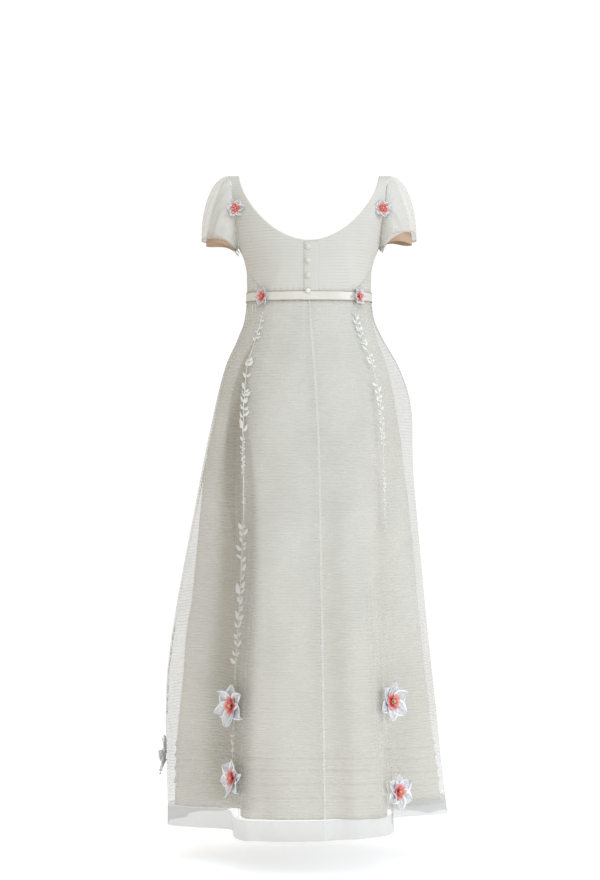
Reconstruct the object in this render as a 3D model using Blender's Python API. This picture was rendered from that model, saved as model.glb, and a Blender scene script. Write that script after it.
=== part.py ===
"""A regency gown: high-waisted bodice, puffed sheer sleeves, satin waist ribbon, ivory
lining skirt and a sheer organza overskirt with leaf trims and cloth flowers.

Metres, +Z up.  The gown faces -Y and the wearer's left is +X.  The origin lies midway
between the tops of the two shoulder straps, where the wearer carries the gown.

Every cloth piece is a thin wall on one of three surfaces: the bodice, the skirt and the
sleeve.  A surface takes an angle round the figure (0 at centre back, 90 degrees at the
wearer's left, 180 at centre front) and a distance down from the shoulders.
"""
import math

import bmesh
import bpy
import numpy as np
from mathutils import Vector
from mathutils.bvhtree import BVHTree

# ---------------------------------------------------------------- driving dimensions
OVAL = 2.3                # squareness of every level section: 2 is a plain ellipse
SEAM_GAP = 0.00035        # clear space between two pieces that are sewn together
BODICE_CLOTH = 0.0012     # wall of the bodice, two layers sewn as one
SHEER_CLOTH = 0.0010      # wall of the organza overskirt and sleeves
LINING_CLOTH = 0.0012     # wall of the lining skirt
TRIM_CLOTH = 0.0010       # wall of ribbon, placket, leaves and petals

WAIST = 0.256             # the high waist seam, below the shoulders
LINING_HEM = 1.318
OVERLAY_HEM = 1.360
HEM_RISE = 0.022          # how much higher the overskirt hangs at the right flank
HEM_RISE_STARTS = (43.0, 60.0)      # degrees right of centre back, from nothing to all of it
HEM_RISE_ENDS = (100.0, 124.0)
WAIST_BACK = 0.095        # depth of the waist behind and before the middle
WAIST_FRONT = 0.097
HEM_BACK = 0.230          # the same at the overlay's hem
HEM_FRONT = 0.250
RIBBON_TOP = 0.247
RIBBON_BOTTOM = 0.265
RIBBON_STAND = 0.0009     # the ribbon's inner face, out from the seam under it

SHOULDER_ROUND = 0.100    # height of the shoulder's round, from strap top to upper back
NECK_HALF = 0.150         # half the neckline's width at the shoulders
NECK_BACK_DROP = 0.1445
NECK_FRONT_DROP = 0.128
BINDING_RADIUS = 0.0017
ARMHOLE_DEPTH = 0.152
ARMHOLE_STEP = 20.0       # one station of the armhole's edge, in degrees round it
CUP_DEPTH = 0.020         # how far the gathered cups stand beyond the chest
CUP_DOWN = 0.172
CUP_ANGLE = 33.0          # degrees each side of centre front

CUFF_OUT = 0.187          # the cuff's middle, from the gown's middle
CUFF_HALF = (0.0375, 0.055)
CUFF_DOWN = 0.138
CUFF_FALL = 0.028         # how much lower the cuff is under the arm
SLEEVE_GATHERS = 9
GATHER_DEPTH = 0.0016     # half the height of the sleeve's and the bodice's gathers
SLEEVE_SEAM = 0.0005      # the sleeve's first ring, clear of the bodice's edge
SLEEVE_MIDDLE = np.array([0.182, 0.0, -0.090])


def table(columns, *rows):
    """A small table: one array for each named column, one entry for each row."""
    return {name: np.array(values) for name, values in zip(columns.split(), zip(*rows))}


# Half-width and depths of the bodice at some distances below the shoulders.
BODICE = table(
    "down    half_width  back    front",
    (0.000, 0.188, 0.105, 0.098),
    (0.060, 0.181, 0.105, 0.101),
    (0.100, 0.168, 0.105, 0.108),
    (0.150, 0.148, 0.103, 0.118),
    (0.180, 0.136, 0.100, 0.117),
    (0.210, 0.131, 0.097, 0.108),
    (WAIST, 0.130, WAIST_BACK, WAIST_FRONT),
)

# How far the skirt reaches to each side; its depths run straight from waist to hem.
SKIRT = table(
    "down    left    right",
    (WAIST, 0.130, 0.130),
    (0.300, 0.133, 0.133),
    (0.344, 0.145, 0.145),
    (0.397, 0.167, 0.167),
    (0.460, 0.184, 0.184),
    (0.554, 0.203, 0.200),
    (0.708, 0.226, 0.216),
    (0.903, 0.250, 0.234),
    (1.080, 0.276, 0.253),
    (1.197, 0.286, 0.267),
    (OVERLAY_HEM, 0.290, 0.288),
)

# Troughs of the skirt, in degrees.  Each runs from `start` to the hem, where it is deepest,
# and spreads unevenly towards the back and towards the front.
FOLDS = table(
    "top      hem    backward  forward  depth   start",
    (62.0, 60.0, 36.0, 28.0, 0.125, 0.330),      # behind the back panel's left edge
    (-66.0, -65.0, 37.0, 27.0, 0.118, 0.360),    # behind its right edge
    (-10.0, -12.5, 7.0, 7.0, 0.009, 0.500),      # beside the centre-back seam
    (24.0, 20.0, 7.0, 6.0, 0.006, 0.560),
    (-27.0, -25.0, 6.0, 8.0, 0.005, 0.620),
    (108.0, 112.0, 9.0, 12.0, 0.024, 0.480),
    (-112.0, -116.0, 10.0, 7.0, 0.018, 0.560),
    (134.0, 139.0, 10.0, 9.0, 0.030, 0.430),
    (-137.0, -142.0, 10.0, 11.0, 0.022, 0.400),
    (158.0, 161.0, 9.0, 10.0, 0.020, 0.600),
    (-160.0, -164.0, 8.0, 9.0, 0.022, 0.520),
    (176.0, 179.0, 7.0, 8.0, 0.015, 0.760),
)

# Angles of the skirt's seams: centre back, the two leaf-trimmed back seams, the side seams.
SEAMS = table(
    "down   centre   back_left  back_right  front_left  front_right",
    (WAIST, 0.0, 43.5, -42.0, 112.0, -122.0),
    (0.380, -3.0, 42.5, -43.9, 106.0, -123.0),
    (0.550, -5.2, 39.5, -44.3, 101.0, -124.0),
    (0.720, -6.0, 36.8, -44.0, 98.0, -125.0),
    (0.900, -6.4, 38.0, -43.5, 96.0, -126.0),
    (1.080, -6.5, 39.0, -43.0, 95.0, -127.0),
    (1.220, -6.5, 38.5, -42.5, 94.5, -127.0),
    (OVERLAY_HEM, -6.3, 37.5, -42.0, 94.0, -128.0),
)

# How far the sheer overskirt billows away from the lining.
BILLOWS = table(
    "angle   down    reach   spread  height",
    (92.0, 0.950, 0.020, 34.0, 0.230),
    (-92.0, 0.470, 0.019, 34.0, 0.110),
    (150.0, 0.900, 0.012, 30.0, 0.260),
    (-150.0, 0.820, 0.013, 30.0, 0.260),
    (176.0, 1.150, 0.008, 20.0, 0.200),
)

# The side-back seam of the bodice, and the half-width of the armhole in degrees from the side.
SIDE_SEAM = table(
    "down    angle",
    (ARMHOLE_DEPTH, 90.0),
    (0.1830, 79.0),
    (0.2100, 64.0),
    (0.2400, 46.5),
    (WAIST, 41.0),
)
ARMHOLE = table(
    "around  from_side",
    (0.0, 29.0),
    (57.0, 33.5),
    (85.0, 33.5),
    (111.0, 28.5),
    (147.0, 17.5),
    (180.0, 0.0),
)

# Lower edges of the sewn tucks round the lining's hem.
TUCKS = (1.195, 1.218, 1.246, 1.273)
TUCK_RISE = 0.0032
TUCK_WIDTH = 0.015
TUCK_RETURN = 0.002

# Leafy stretches of the four vines, as metres below the shoulders, and what seam each follows.
VINES = {
    "vine_back_left": ("back_left", ((0.300, 0.345), (0.385, 0.545), (0.735, 1.030), (1.130, 1.200))),
    "vine_back_right": ("back_right", ((0.290, 0.400), (0.430, 0.575), (0.610, 0.735))),
    "vine_side_left": ("front_left", ((0.300, 0.420), (0.560, 0.700), (0.930, 1.130))),
    "vine_side_right": ("front_right", ((0.290, 0.410), (0.540, 0.700), (0.900, 1.120))),
}
LEAF_LENGTH = 0.027
LEAF_REACH = 0.0085
STEM_HALF = 0.0011

# Flowers on the skirt: the seam that each sits on, degrees past it, how far down, radius, and
# the way it faces in degrees from straight behind, positive to the wearer's left.
SKIRT_FLOWERS = table(
    "seam          past   down     radius  facing",
    ("back_left", 2.0, 1.088, 0.044, 52.0),
    ("back_right", -1.5, 1.082, 0.042, -44.0),
    ("back_left", 0.0, 1.232, 0.040, 60.0),
    ("back_right", -2.5, 1.262, 0.038, -46.0),
    ("front_left", 1.0, 1.218, 0.044, 92.0),
    ("front_right", 0.0, 1.210, 0.043, -127.0),
)
FLOWER_RISE = 0.10        # how much a hem flower looks up, the slope of the flared cloth
BELT_FLOWER_ANGLES = (44.0, -46.5)
BELT_FLOWER_FACING = (40.0, -54.0)
SMALL_FLOWER = 0.019
PETALS = 6
FLOWER_EYE = 0.36         # the flat middle of a flower, as a share of its radius
DROP_FROM = 0.030         # a settling piece starts this far off and comes in by DROP_STEP
DROP_STEP = 0.0002
PETAL_OUTLINE = (0.50, 0.86, 1.0, 0.86)      # reach of one petal's edge, from notch to notch
PETAL_LIFT = (0.10, 0.13, 0.20, 0.13)        # how far that edge lifts, both as shares of the radius
CENTRE_PETALS = 5
CENTRE_DIP = 0.34
CENTRE_NOTCH = 0.74
CENTRE_RINGS = ((0.60, 0.46), (1.0, 0.30), (0.92, 0.0))     # reach and height, shares of the centre
BUTTON_DOWNS = (0.1560, 0.1840, 0.2145)
BUTTON_RADIUS = 0.0063
BUTTON_HEIGHT = 0.0032

# Colour and roughness of each finish.
FINISHES = {
    "organza": ((0.86, 0.87, 0.80), 0.55),
    "lining": ((0.80, 0.78, 0.68), 0.70),
    "satin": ((0.90, 0.90, 0.83), 0.30),
    "petal": ((0.92, 0.92, 0.90), 0.50),
    "coral": ((0.80, 0.22, 0.18), 0.55),
    "pearl": ((0.90, 0.87, 0.80), 0.20),
}


# ---------------------------------------------------------------- small mathematics
def read(rows, column, key, where):
    """A table's column at `where`, on a smooth curve that never overshoots its rows."""
    xs, ys = rows[key].astype(float), rows[column].astype(float)
    step = np.diff(xs)
    rise = np.diff(ys) / step
    slope = np.zeros_like(ys)
    slope[0], slope[-1] = rise[0], rise[-1]
    same = rise[:-1] * rise[1:] > 0
    total = np.where(same, rise[:-1] + rise[1:], 1.0)
    slope[1:-1] = np.where(same, 2 * rise[:-1] * rise[1:] / total, 0.0)
    where = np.clip(where, xs[0], xs[-1])
    left = np.clip(np.searchsorted(xs, where, side="right") - 1, 0, len(step) - 1)
    share = (where - xs[left]) / step[left]
    blend = share * share * (3 - 2 * share)
    bend = share * (1 - share) * step[left]
    return (ys[left] * (1 - blend) + ys[left + 1] * blend
            + bend * (slope[left] * (1 - share) - slope[left + 1] * share))


def ease(value, start, end):
    """0 before start, 1 after end, and a smooth rise between."""
    share = np.clip((value - start) / (end - start), 0.0, 1.0)
    return share * share * (3 - 2 * share)


def unit_oval(angle):
    """A point of the unit oval at an angle in degrees from centre back."""
    sine, cosine = np.sin(np.radians(angle)), np.cos(np.radians(angle))
    size = (np.abs(sine) ** OVAL + np.abs(cosine) ** OVAL) ** (-1 / OVAL)
    return size * sine, size * cosine


def oval_angle(share):
    """The angle at which the unit oval lies this share of its half-width from the middle."""
    share = np.clip(share, -1.0, 1.0)
    depth = (1 - np.abs(share) ** OVAL) ** (1 / OVAL)
    return np.degrees(np.arctan2(share, depth))


def normals(surface, first, second, inside=None):
    """Unit normals of a surface, by small steps, facing away from `inside`."""
    nudge = 1e-4
    along = surface(first + nudge * 50, second) - surface(first - nudge * 50, second)
    down = surface(first, second + nudge) - surface(first, second - nudge)
    normal = np.cross(along, down)
    normal /= np.maximum(np.linalg.norm(normal, axis=-1, keepdims=True), 1e-12)
    away = surface(first, second) - (np.zeros(3) if inside is None else inside)
    if inside is None:
        away[..., 2] = 0
    facing = np.sum(normal * away, axis=-1, keepdims=True)
    return normal * np.where(facing < 0, -1.0, 1.0)


# ---------------------------------------------------------------- the bodice surface
def girth_at(down):
    """Position along the bodice: 0 at the strap top, 1 where the shoulder's round ends."""
    down = np.asarray(down, dtype=float)
    upper = np.arccos(1 - np.minimum(down, SHOULDER_ROUND) / SHOULDER_ROUND) / (math.pi / 2)
    return np.where(down < SHOULDER_ROUND, upper, down / SHOULDER_ROUND)


def bodice(angle, girth):
    """The bodice's outer face."""
    turn = np.clip(girth, -1.0, 1.0) * math.pi / 2
    beyond = np.maximum(girth, 1.0) - 1.0
    down = SHOULDER_ROUND * (1 - np.cos(turn)) + beyond * SHOULDER_ROUND
    from_front = np.abs(np.abs(angle) - 180.0)
    cups = np.exp(-((from_front - CUP_ANGLE) / 21.0) ** 2 - ((down - CUP_DOWN) / 0.034) ** 2)
    hollow = 1 - ease(down, 0.225, WAIST)
    depth_back = read(BODICE, "back", "down", down)
    depth_front = read(BODICE, "front", "down", down) + CUP_DEPTH * cups * hollow
    across, along = unit_oval(angle)
    depth = np.where(along >= 0, depth_back, depth_front) * np.sin(turn)
    x = across * read(BODICE, "half_width", "down", down)
    return np.stack(np.broadcast_arrays(x, along * depth, -down), axis=-1)


def bodice_outward(angle, girth):
    """The bodice's unit normals."""
    return normals(bodice, angle, girth, inside=np.array([0.0, 0.0, -0.150]))


def neckline(share, front):
    """Angle and girth along the neckline's left half: share 0 at the middle, 1 at the strap."""
    turn = (1 - np.asarray(share, dtype=float)) * math.pi / 2
    across = NECK_HALF * np.cos(turn) ** (2 / 1.9)
    down = (NECK_FRONT_DROP if front else NECK_BACK_DROP) * np.sin(turn) ** (2 / 1.5)
    angle = oval_angle(across / read(BODICE, "half_width", "down", down))
    return (180.0 - angle if front else angle), girth_at(down)


def armhole(around):
    """Angle and girth round the left armhole: 0 at the shoulder, over the back to 180 under
    the arm, and on over the front to 360."""
    around = np.asarray(around, dtype=float) % 360.0
    from_top = np.where(around <= 180, around, 360 - around)
    from_side = read(ARMHOLE, "from_side", "around", from_top)
    down = ARMHOLE_DEPTH * (1 - np.cos(np.radians(from_top))) / 2
    return 90.0 + np.where(around <= 180, -from_side, from_side), girth_at(down)


# ---------------------------------------------------------------- the skirt surface
def fold_depth(angle, down):
    """How deep the skirt's troughs are at a place."""
    depth = np.zeros(np.broadcast(angle, down).shape)
    for row in range(len(FOLDS["top"])):
        fold = {name: values[row] for name, values in FOLDS.items()}
        share = (down - fold["start"]) / (OVERLAY_HEM - fold["start"])
        growth = np.clip(share, 0.0, 1.0) ** 1.15
        centre = fold["top"] + (fold["hem"] - fold["top"]) * np.clip(share, 0.0, 1.0)
        side = 1.0 if centre.mean() >= 0 else -1.0
        offset = (angle - centre + 180.0) % 360.0 - 180.0
        offset = offset * side
        reach = np.where(offset < 0, fold["backward"], fold["forward"])
        across = np.clip(np.abs(offset) / reach, 0.0, 1.0)
        depth = depth + fold["depth"] * growth * (0.5 + 0.5 * np.cos(math.pi * across)) ** 0.75
    return depth


def skirt(angle, down, stand_off, fold_share):
    """The skirt's face, moved out by stand_off, with a share of the troughs' depth."""
    share = (down - WAIST) / (OVERLAY_HEM - WAIST)
    across, along = unit_oval(angle)
    depth = np.where(along >= 0, WAIST_BACK + (HEM_BACK - WAIST_BACK) * share,
                     WAIST_FRONT + (HEM_FRONT - WAIST_FRONT) * share)
    left, right = (read(SKIRT, side, "down", down) for side in ("left", "right"))
    x = across * np.where(across >= 0, left, right)
    y = along * depth
    reach = np.hypot(x, y)
    scale = 1 + (stand_off - fold_share * fold_depth(angle, down)) / reach
    return np.stack(np.broadcast_arrays(x * scale, y * scale, -down), axis=-1)


def lining(angle, down):
    """The lining's outer face, which hangs just inside the overskirt's waist."""
    return skirt(angle, down, -(SHEER_CLOTH + 0.0006), 1.0)


def overlay(angle, down):
    """The sheer overskirt's outer face."""
    stand_off = 0.0065 * ease(down, WAIST, 0.400)
    for row in range(len(BILLOWS["angle"])):
        billow = {name: values[row] for name, values in BILLOWS.items()}
        offset = ((angle - billow["angle"] + 180.0) % 360.0 - 180.0) / billow["spread"]
        height = (down - billow["down"]) / billow["height"]
        stand_off = stand_off + billow["reach"] * np.exp(-offset ** 2 - height ** 2)
    stand_off = stand_off * ease(down, WAIST, 0.330)
    return skirt(angle, down, stand_off, 0.90)


# ---------------------------------------------------------------- the sleeve surface
def armhole_station(around, inset):
    """A point just inside the armhole's edge, and then inset towards the sleeve's middle."""
    angle, girth = armhole(around)
    edge = bodice(angle, girth)
    tangent = bodice(*armhole(around + 1.0)) - bodice(*armhole(around - 1.0))
    into_hole = np.cross(tangent, bodice_outward(angle, girth))
    into_hole /= np.linalg.norm(into_hole, axis=-1, keepdims=True)
    to_middle = SLEEVE_MIDDLE - edge
    to_middle /= np.linalg.norm(to_middle, axis=-1, keepdims=True)
    return edge + into_hole * SLEEVE_SEAM + np.array([SLEEVE_SEAM, 0.0, 0.0]) + to_middle * inset


def armhole_edge(around, inset):
    """The sleeve's seam, straight between the stations of the bodice's own edge."""
    station = np.floor(around / ARMHOLE_STEP) * ARMHOLE_STEP
    share = ((around - station) / ARMHOLE_STEP)[..., None]
    return (armhole_station(station, inset) * (1 - share)
            + armhole_station(station + ARMHOLE_STEP, inset) * share)


def sleeve(around, share, inset, cuff_inset, drop, fullness):
    """The sleeve from the armhole's edge (share 0) to its cuff (share 1), on a soft curve."""
    start = armhole_edge(around, inset)
    turn = np.radians(around)
    outer = (1 + np.cos(turn)) / 2
    half_width, half_depth = (half - cuff_inset for half in CUFF_HALF)
    end = np.stack([CUFF_OUT + half_width * np.cos(turn), half_depth * np.sin(turn),
                    -CUFF_DOWN - CUFF_FALL * (1 - outer) ** 3 - drop], axis=-1)
    leave = np.stack([0.010 + 0.125 * outer * fullness, 0.060 * fullness * np.sin(turn),
                      -0.012 - 0.012 * outer], axis=-1)
    arrive = np.stack([-0.004 * outer, -0.028 * fullness * np.sin(turn), -0.012 - 0.085 * outer], axis=-1)
    s = np.asarray(share, dtype=float)[..., None]
    return (start * (1 + 2 * s) * (1 - s) ** 2 + end * s * s * (3 - 2 * s)
            + leave * s * (1 - s) ** 2 - arrive * s * s * (1 - s))


def gathered_sleeve(around, share):
    """The sheer sleeve, with soft gathers that swell between armhole and cuff."""
    plain = sleeve(around, share, 0.0, 0.0, 0.0, 1.0)
    swell = np.clip(np.sin(math.pi * share), 0, 1) ** 0.7
    wave = (np.cos(np.radians(around) * SLEEVE_GATHERS) - 1) * swell
    away = plain - SLEEVE_MIDDLE
    away /= np.linalg.norm(away, axis=-1, keepdims=True)
    depth = GATHER_DEPTH * (0.55 + 0.45 * np.cos(np.radians(around)))
    return plain + away * (wave * depth)[..., None]


def sleeve_lining(around, share):
    """The plain lining tube inside the sheer sleeve, which shows below its cuff."""
    return sleeve(around, share, 0.0030, 0.0085, 0.0125, 0.40)


# ---------------------------------------------------------------- making solids
def finish(name, kind):
    """A new material for one object."""
    colour, roughness = FINISHES[kind]
    made = bpy.data.materials.new(name + "_finish")
    made.use_nodes = True
    shader = made.node_tree.nodes["Principled BSDF"]
    shader.inputs["Base Color"].default_value = (*colour, 1.0)
    shader.inputs["Roughness"].default_value = roughness
    shader.inputs["Metallic"].default_value = 0.0
    made.diffuse_color = (*colour, 1.0)
    return made


def add_object(name, kind, mesh):
    """Put a mesh in the gown's collection as a named object with its own finish."""
    mesh.materials.append(finish(name, kind))
    mesh.shade_smooth()
    mesh.set_sharp_from_angle(angle=math.radians(40))
    made = bpy.data.objects.new(name, mesh)
    GOWN.objects.link(made)
    return made


def closed_mesh(name, points, faces, weld=False):
    """A mesh from points and faces, with its faces turned outward."""
    mesh = bpy.data.meshes.new(name)
    mesh.from_pydata([tuple(point) for point in points], [], faces)
    shape = bmesh.new()
    shape.from_mesh(mesh)
    if weld:
        bmesh.ops.remove_doubles(shape, verts=shape.verts, dist=1e-6)
    bmesh.ops.recalc_face_normals(shape, faces=shape.faces)
    shape.to_mesh(mesh)
    shape.free()
    return mesh


def wall_faces(rows, columns, ring=False, side_from=0):
    """Faces of a wall: two grids of points, outer then inner, and the rims between them.
    A ring has no side rims.  The first side's rim starts at row side_from."""
    def at(face, row, column):
        return (face * rows + row) * columns + column % columns

    faces = []
    for row in range(rows - 1):
        for column in range(columns if ring else columns - 1):
            for face in (0, 1):
                faces.append((at(face, row, column), at(face, row, column + 1),
                              at(face, row + 1, column + 1), at(face, row + 1, column)))
    for column in range(columns if ring else columns - 1):
        for row in (0, rows - 1):
            faces.append((at(0, row, column), at(0, row, column + 1),
                          at(1, row, column + 1), at(1, row, column)))
    if not ring:
        for row in range(rows - 1):
            for column in (0, columns - 1):
                if column or row >= side_from:
                    faces.append((at(0, row, column), at(0, row + 1, column),
                                  at(1, row + 1, column), at(1, row, column)))
    return faces


def wall(name, kind, outer, inner, ring=False):
    """A closed wall between two grids of points, each rows by columns by 3."""
    rows, columns = outer.shape[:2]
    points = np.concatenate([outer.reshape(-1, 3), inner.reshape(-1, 3)])
    mesh = closed_mesh(name, points, wall_faces(rows, columns, ring))
    return add_object(name, kind, mesh)


def mirrored(points):
    """The same points on the other side of the gown."""
    return points * np.array([-1.0, 1.0, 1.0])


# ---------------------------------------------------------------- bodice pieces
def chain(start, end, count):
    """Evenly spaced shares from start to end, both included."""
    return np.linspace(start, end, count + 1)


def strap_end(girths):
    """Stop just short of the shoulder seam, where back and front pieces meet."""
    return np.maximum(girths, 0.0035)


def half_bodice(front):
    """Angle and girth grids of the left half, rows from waist to shoulder and columns from
    the centre line to the side, with the row at which the neckline starts."""
    low, high = 4, 8
    seam_down = chain(WAIST - 0.0003, ARMHOLE_DEPTH, low)
    seam_angle = read(SIDE_SEAM, "angle", "down", seam_down)
    hole_angle, hole_girth = armhole(chain(180.0, 359.999 if front else 0.0, high + 1)[1:])
    slip = 0.12 if front else -0.12
    side_angle = np.concatenate([seam_angle + slip, hole_angle])
    side_girth = np.concatenate([girth_at(seam_down), hole_girth])

    neck_drop = NECK_FRONT_DROP if front else NECK_BACK_DROP
    centre_girth = girth_at(chain(WAIST - 0.0003, neck_drop, low + 1))
    neck_angle, neck_girth = neckline(chain(0.0, 1.0, high)[1:], front)
    centre_angle = np.full(low + 2, 180.0 if front else 0.12)
    edge_angle = np.concatenate([centre_angle, neck_angle])
    edge_girth = np.concatenate([centre_girth, neck_girth])

    columns = 14 if front else 7
    across = chain(0.0, 1.0, columns)[None, :]
    angle = edge_angle[:, None] * (1 - across) + side_angle[:, None] * across
    girth = edge_girth[:, None] * (1 - across) + side_girth[:, None] * across
    return angle, strap_end(girth), low + 1


def bodice_wall(front):
    """Outer and inner points of half the bodice; the front's are gathered at the waist."""
    angle, girth, neck_row = half_bodice(front)
    outward = bodice_outward(angle, girth)
    outer = bodice(angle, girth)
    if front:
        columns = np.arange(angle.shape[1])[None, :]
        zigzag = np.where(columns % 2 == 0, 0.0, -1.0)
        edge = ease(columns, 0, 1) * (1 - ease(columns, angle.shape[1] - 2, angle.shape[1] - 1))
        drawn = ease(girth, girth_at(0.170), girth_at(0.215))
        outer = outer + outward * (2 * GATHER_DEPTH * zigzag * edge * drawn)[..., None]
    return outer, outer - outward * BODICE_CLOTH, neck_row


def make_bodice():
    """The gathered front, which wraps round to the side-back seams, and two back pieces."""
    outer, inner, neck_row = bodice_wall(front=True)
    rows, columns = outer.shape[:2]
    half = np.concatenate([outer.reshape(-1, 3), inner.reshape(-1, 3)])
    faces = wall_faces(rows, columns, side_from=neck_row)
    other = [tuple(index + len(half) for index in face) for face in faces]
    mesh = closed_mesh("bodice_front", np.concatenate([half, mirrored(half)]), faces + other, weld=True)
    add_object("bodice_front", "organza", mesh)

    outer, inner, _ = bodice_wall(front=False)
    wall("bodice_back_left", "organza", outer, inner)
    wall("bodice_back_right", "organza", mirrored(outer), mirrored(inner))


def make_placket():
    """The overlapping strip down the centre back, which carries the buttons."""
    down = chain(NECK_BACK_DROP + 0.0005, RIBBON_TOP - 0.0005, 5)[:, None]
    across = chain(-0.0190, 0.0110, 4)[None, :]
    angle = oval_angle(across / read(BODICE, "half_width", "down", down))
    girth = np.broadcast_to(girth_at(down), angle.shape)
    face = bodice(angle, girth)
    outward = bodice_outward(angle, girth)
    wall("back_placket", "organza", face + outward * (SEAM_GAP + TRIM_CLOTH), face + outward * SEAM_GAP)


def make_neck_binding():
    """A round cord of bound cloth along the whole neckline."""
    share = chain(0.0, 1.0, 8)
    back_angle, back_girth = neckline(share, False)
    front_angle, front_girth = neckline(share[::-1], True)
    angle = np.concatenate([back_angle, front_angle[1:]])
    girth = np.concatenate([back_girth, front_girth[1:]])
    outward = bodice_outward(angle, girth)
    left = bodice(angle, girth) - outward * BODICE_CLOTH / 2
    path = np.concatenate([left, mirrored(left[-2:0:-1])])
    outward = np.concatenate([outward, mirrored(outward[-2:0:-1])])
    along = np.roll(path, -1, axis=0) - np.roll(path, 1, axis=0)
    along /= np.linalg.norm(along, axis=-1, keepdims=True)
    aside = np.cross(along, outward)
    aside /= np.linalg.norm(aside, axis=-1, keepdims=True)
    middle = path.mean(axis=0)
    aside *= np.where(np.sum(aside * (middle - path), axis=-1, keepdims=True) < 0, -1.0, 1.0)
    outward = np.cross(aside, along)
    outward *= np.where(np.sum(outward * (path - middle), axis=-1, keepdims=True) < 0, -1.0, 1.0)
    centre = path + aside * (BINDING_RADIUS + SEAM_GAP)
    sides = 5
    points = []
    for side in range(sides):
        turn = 2 * math.pi * (side + 0.5) / sides
        points.append(centre + BINDING_RADIUS * (aside * math.cos(turn) + outward * math.sin(turn)))
    points = np.stack(points, axis=1)
    stations = len(path)
    faces = [((station * sides + side), (station * sides + (side + 1) % sides),
              ((station + 1) % stations * sides + (side + 1) % sides),
              ((station + 1) % stations * sides + side))
             for station in range(stations) for side in range(sides)]
    add_object("neck_binding", "satin", closed_mesh("neck_binding", points.reshape(-1, 3), faces))


def make_ribbon():
    """The satin ribbon round the high waist, over the waist seam."""
    columns = 56
    angle = np.arange(columns)[None, :] * 360.0 / columns - 180.0
    lower = np.array([WAIST, RIBBON_BOTTOM])[:, None]
    face = np.concatenate([bodice(angle, np.full(angle.shape, girth_at(RIBBON_TOP))),
                           overlay(angle, lower)])
    outward = face * np.array([1.0, 1.0, 0.0])
    outward /= np.linalg.norm(outward, axis=-1, keepdims=True)
    wall("waist_ribbon", "satin", face + outward * (RIBBON_STAND + TRIM_CLOTH),
         face + outward * RIBBON_STAND, ring=True)


# ---------------------------------------------------------------- sleeves
def make_sleeves():
    """Puffed sheer sleeves, each over a plain lining tube that shows below its cuff."""
    for kind, surface, cloth, columns, rows in (
            ("sleeve", gathered_sleeve, SHEER_CLOTH, 4 * SLEEVE_GATHERS, 5),
            ("sleeve_lining", sleeve_lining, LINING_CLOTH, 18, 3)):
        around = (np.arange(columns) * 360.0 / columns)[None, :]
        share = chain(0.0, 1.0, rows)[:, None]
        around, share = np.broadcast_arrays(around, share)
        outer = surface(around, share)
        outward = normals(surface, around, share, inside=SLEEVE_MIDDLE)
        inner = outer - outward * cloth
        finish_kind = "organza" if kind == "sleeve" else "lining"
        wall(kind + "_left", finish_kind, outer, inner, ring=True)
        wall(kind + "_right", finish_kind, mirrored(outer), mirrored(inner), ring=True)


# ---------------------------------------------------------------- skirts
def panel_grid(first, last, downs, columns):
    """Angle and down grids of a panel between two seams, half a seam's gap short of each."""
    downs = np.asarray(downs)[:, None]
    start, end = (read(SEAMS, seam, "down", downs) for seam in (first, last))
    end = np.where(end < start, end + 360.0, end)
    half_gap = np.degrees(SEAM_GAP / 2 / (0.11 + 0.10 * (downs - WAIST)))
    share = chain(0.0, 1.0, columns)[None, :]
    angle = (start + half_gap) * (1 - share) + (end - half_gap) * share
    return angle, np.broadcast_to(downs, angle.shape)


def hem_rise(angle):
    """How much higher the overskirt's hem hangs round the right flank."""
    beside = (180.0 - angle) % 360.0 - 180.0
    return HEM_RISE * ease(beside, *HEM_RISE_STARTS) * (1 - ease(beside, *HEM_RISE_ENDS))


def make_overskirt():
    """Five gores of organza from the waist seam to the hem."""
    downs = (WAIST + 0.0003, RIBBON_BOTTOM + 0.001, 0.310, 0.370, 0.450, 0.560, 0.710, 0.880, 1.040,
             1.200, OVERLAY_HEM)
    for name, first, last, columns in (("overlay_back_left", "centre", "back_left", 8),
                                       ("overlay_side_left", "back_left", "front_left", 18),
                                       ("overlay_front", "front_left", "front_right", 22),
                                       ("overlay_side_right", "front_right", "back_right", 19),
                                       ("overlay_back_right", "back_right", "centre", 8)):
        angle, down = panel_grid(first, last, downs, columns)
        down = down - hem_rise(angle) * (down == OVERLAY_HEM)
        outer = overlay(angle, down)
        wall(name, "organza", outer, outer - normals(overlay, angle, down) * SHEER_CLOTH)


def make_lining():
    """Three panels of plain ivory cloth, with four sewn tucks above the hem."""
    downs = [WAIST + 0.0003, RIBBON_BOTTOM + 0.001, 0.320, 0.410, 0.540, 0.740, 0.960]
    rises = [0.0] * len(downs)
    for edge in TUCKS:
        downs += [edge - TUCK_WIDTH, edge]
        rises += [0.0, TUCK_RISE]
    downs += [TUCKS[-1] + TUCK_RETURN, LINING_HEM]
    rises += [0.0, 0.0]
    rises = np.array(rises)[:, None, None]
    for name, first, last, columns in (("lining_back_left", "centre", "front_left", 17),
                                       ("lining_front", "front_left", "front_right", 15),
                                       ("lining_back_right", "front_right", "centre", 18)):
        angle, down = panel_grid(first, last, downs, columns)
        face = lining(angle, down)
        outward = normals(lining, angle, down)
        wall(name, "lining", face + outward * rises, face - outward * LINING_CLOTH)


# ---------------------------------------------------------------- seating one piece on others
PROBE = 0.05              # how far above a surface a probing ray starts


def trees_of(carriers):
    """Search trees of the solids that carry something."""
    return [BVHTree.FromPolygons([v.co for v in item.data.vertices],
                                 [p.vertices for p in item.data.polygons]) for item in carriers]


def height_over(trees, spot, normal):
    """How far the carriers stand above a spot, along its normal; -1 where there is none."""
    heights = [-1.0]
    for tree in trees:
        hit = tree.ray_cast(spot + normal * PROBE, -normal, PROBE * 1.6)
        if hit[0] is not None:
            heights.append(PROBE - hit[3])
    return max(heights)


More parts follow.
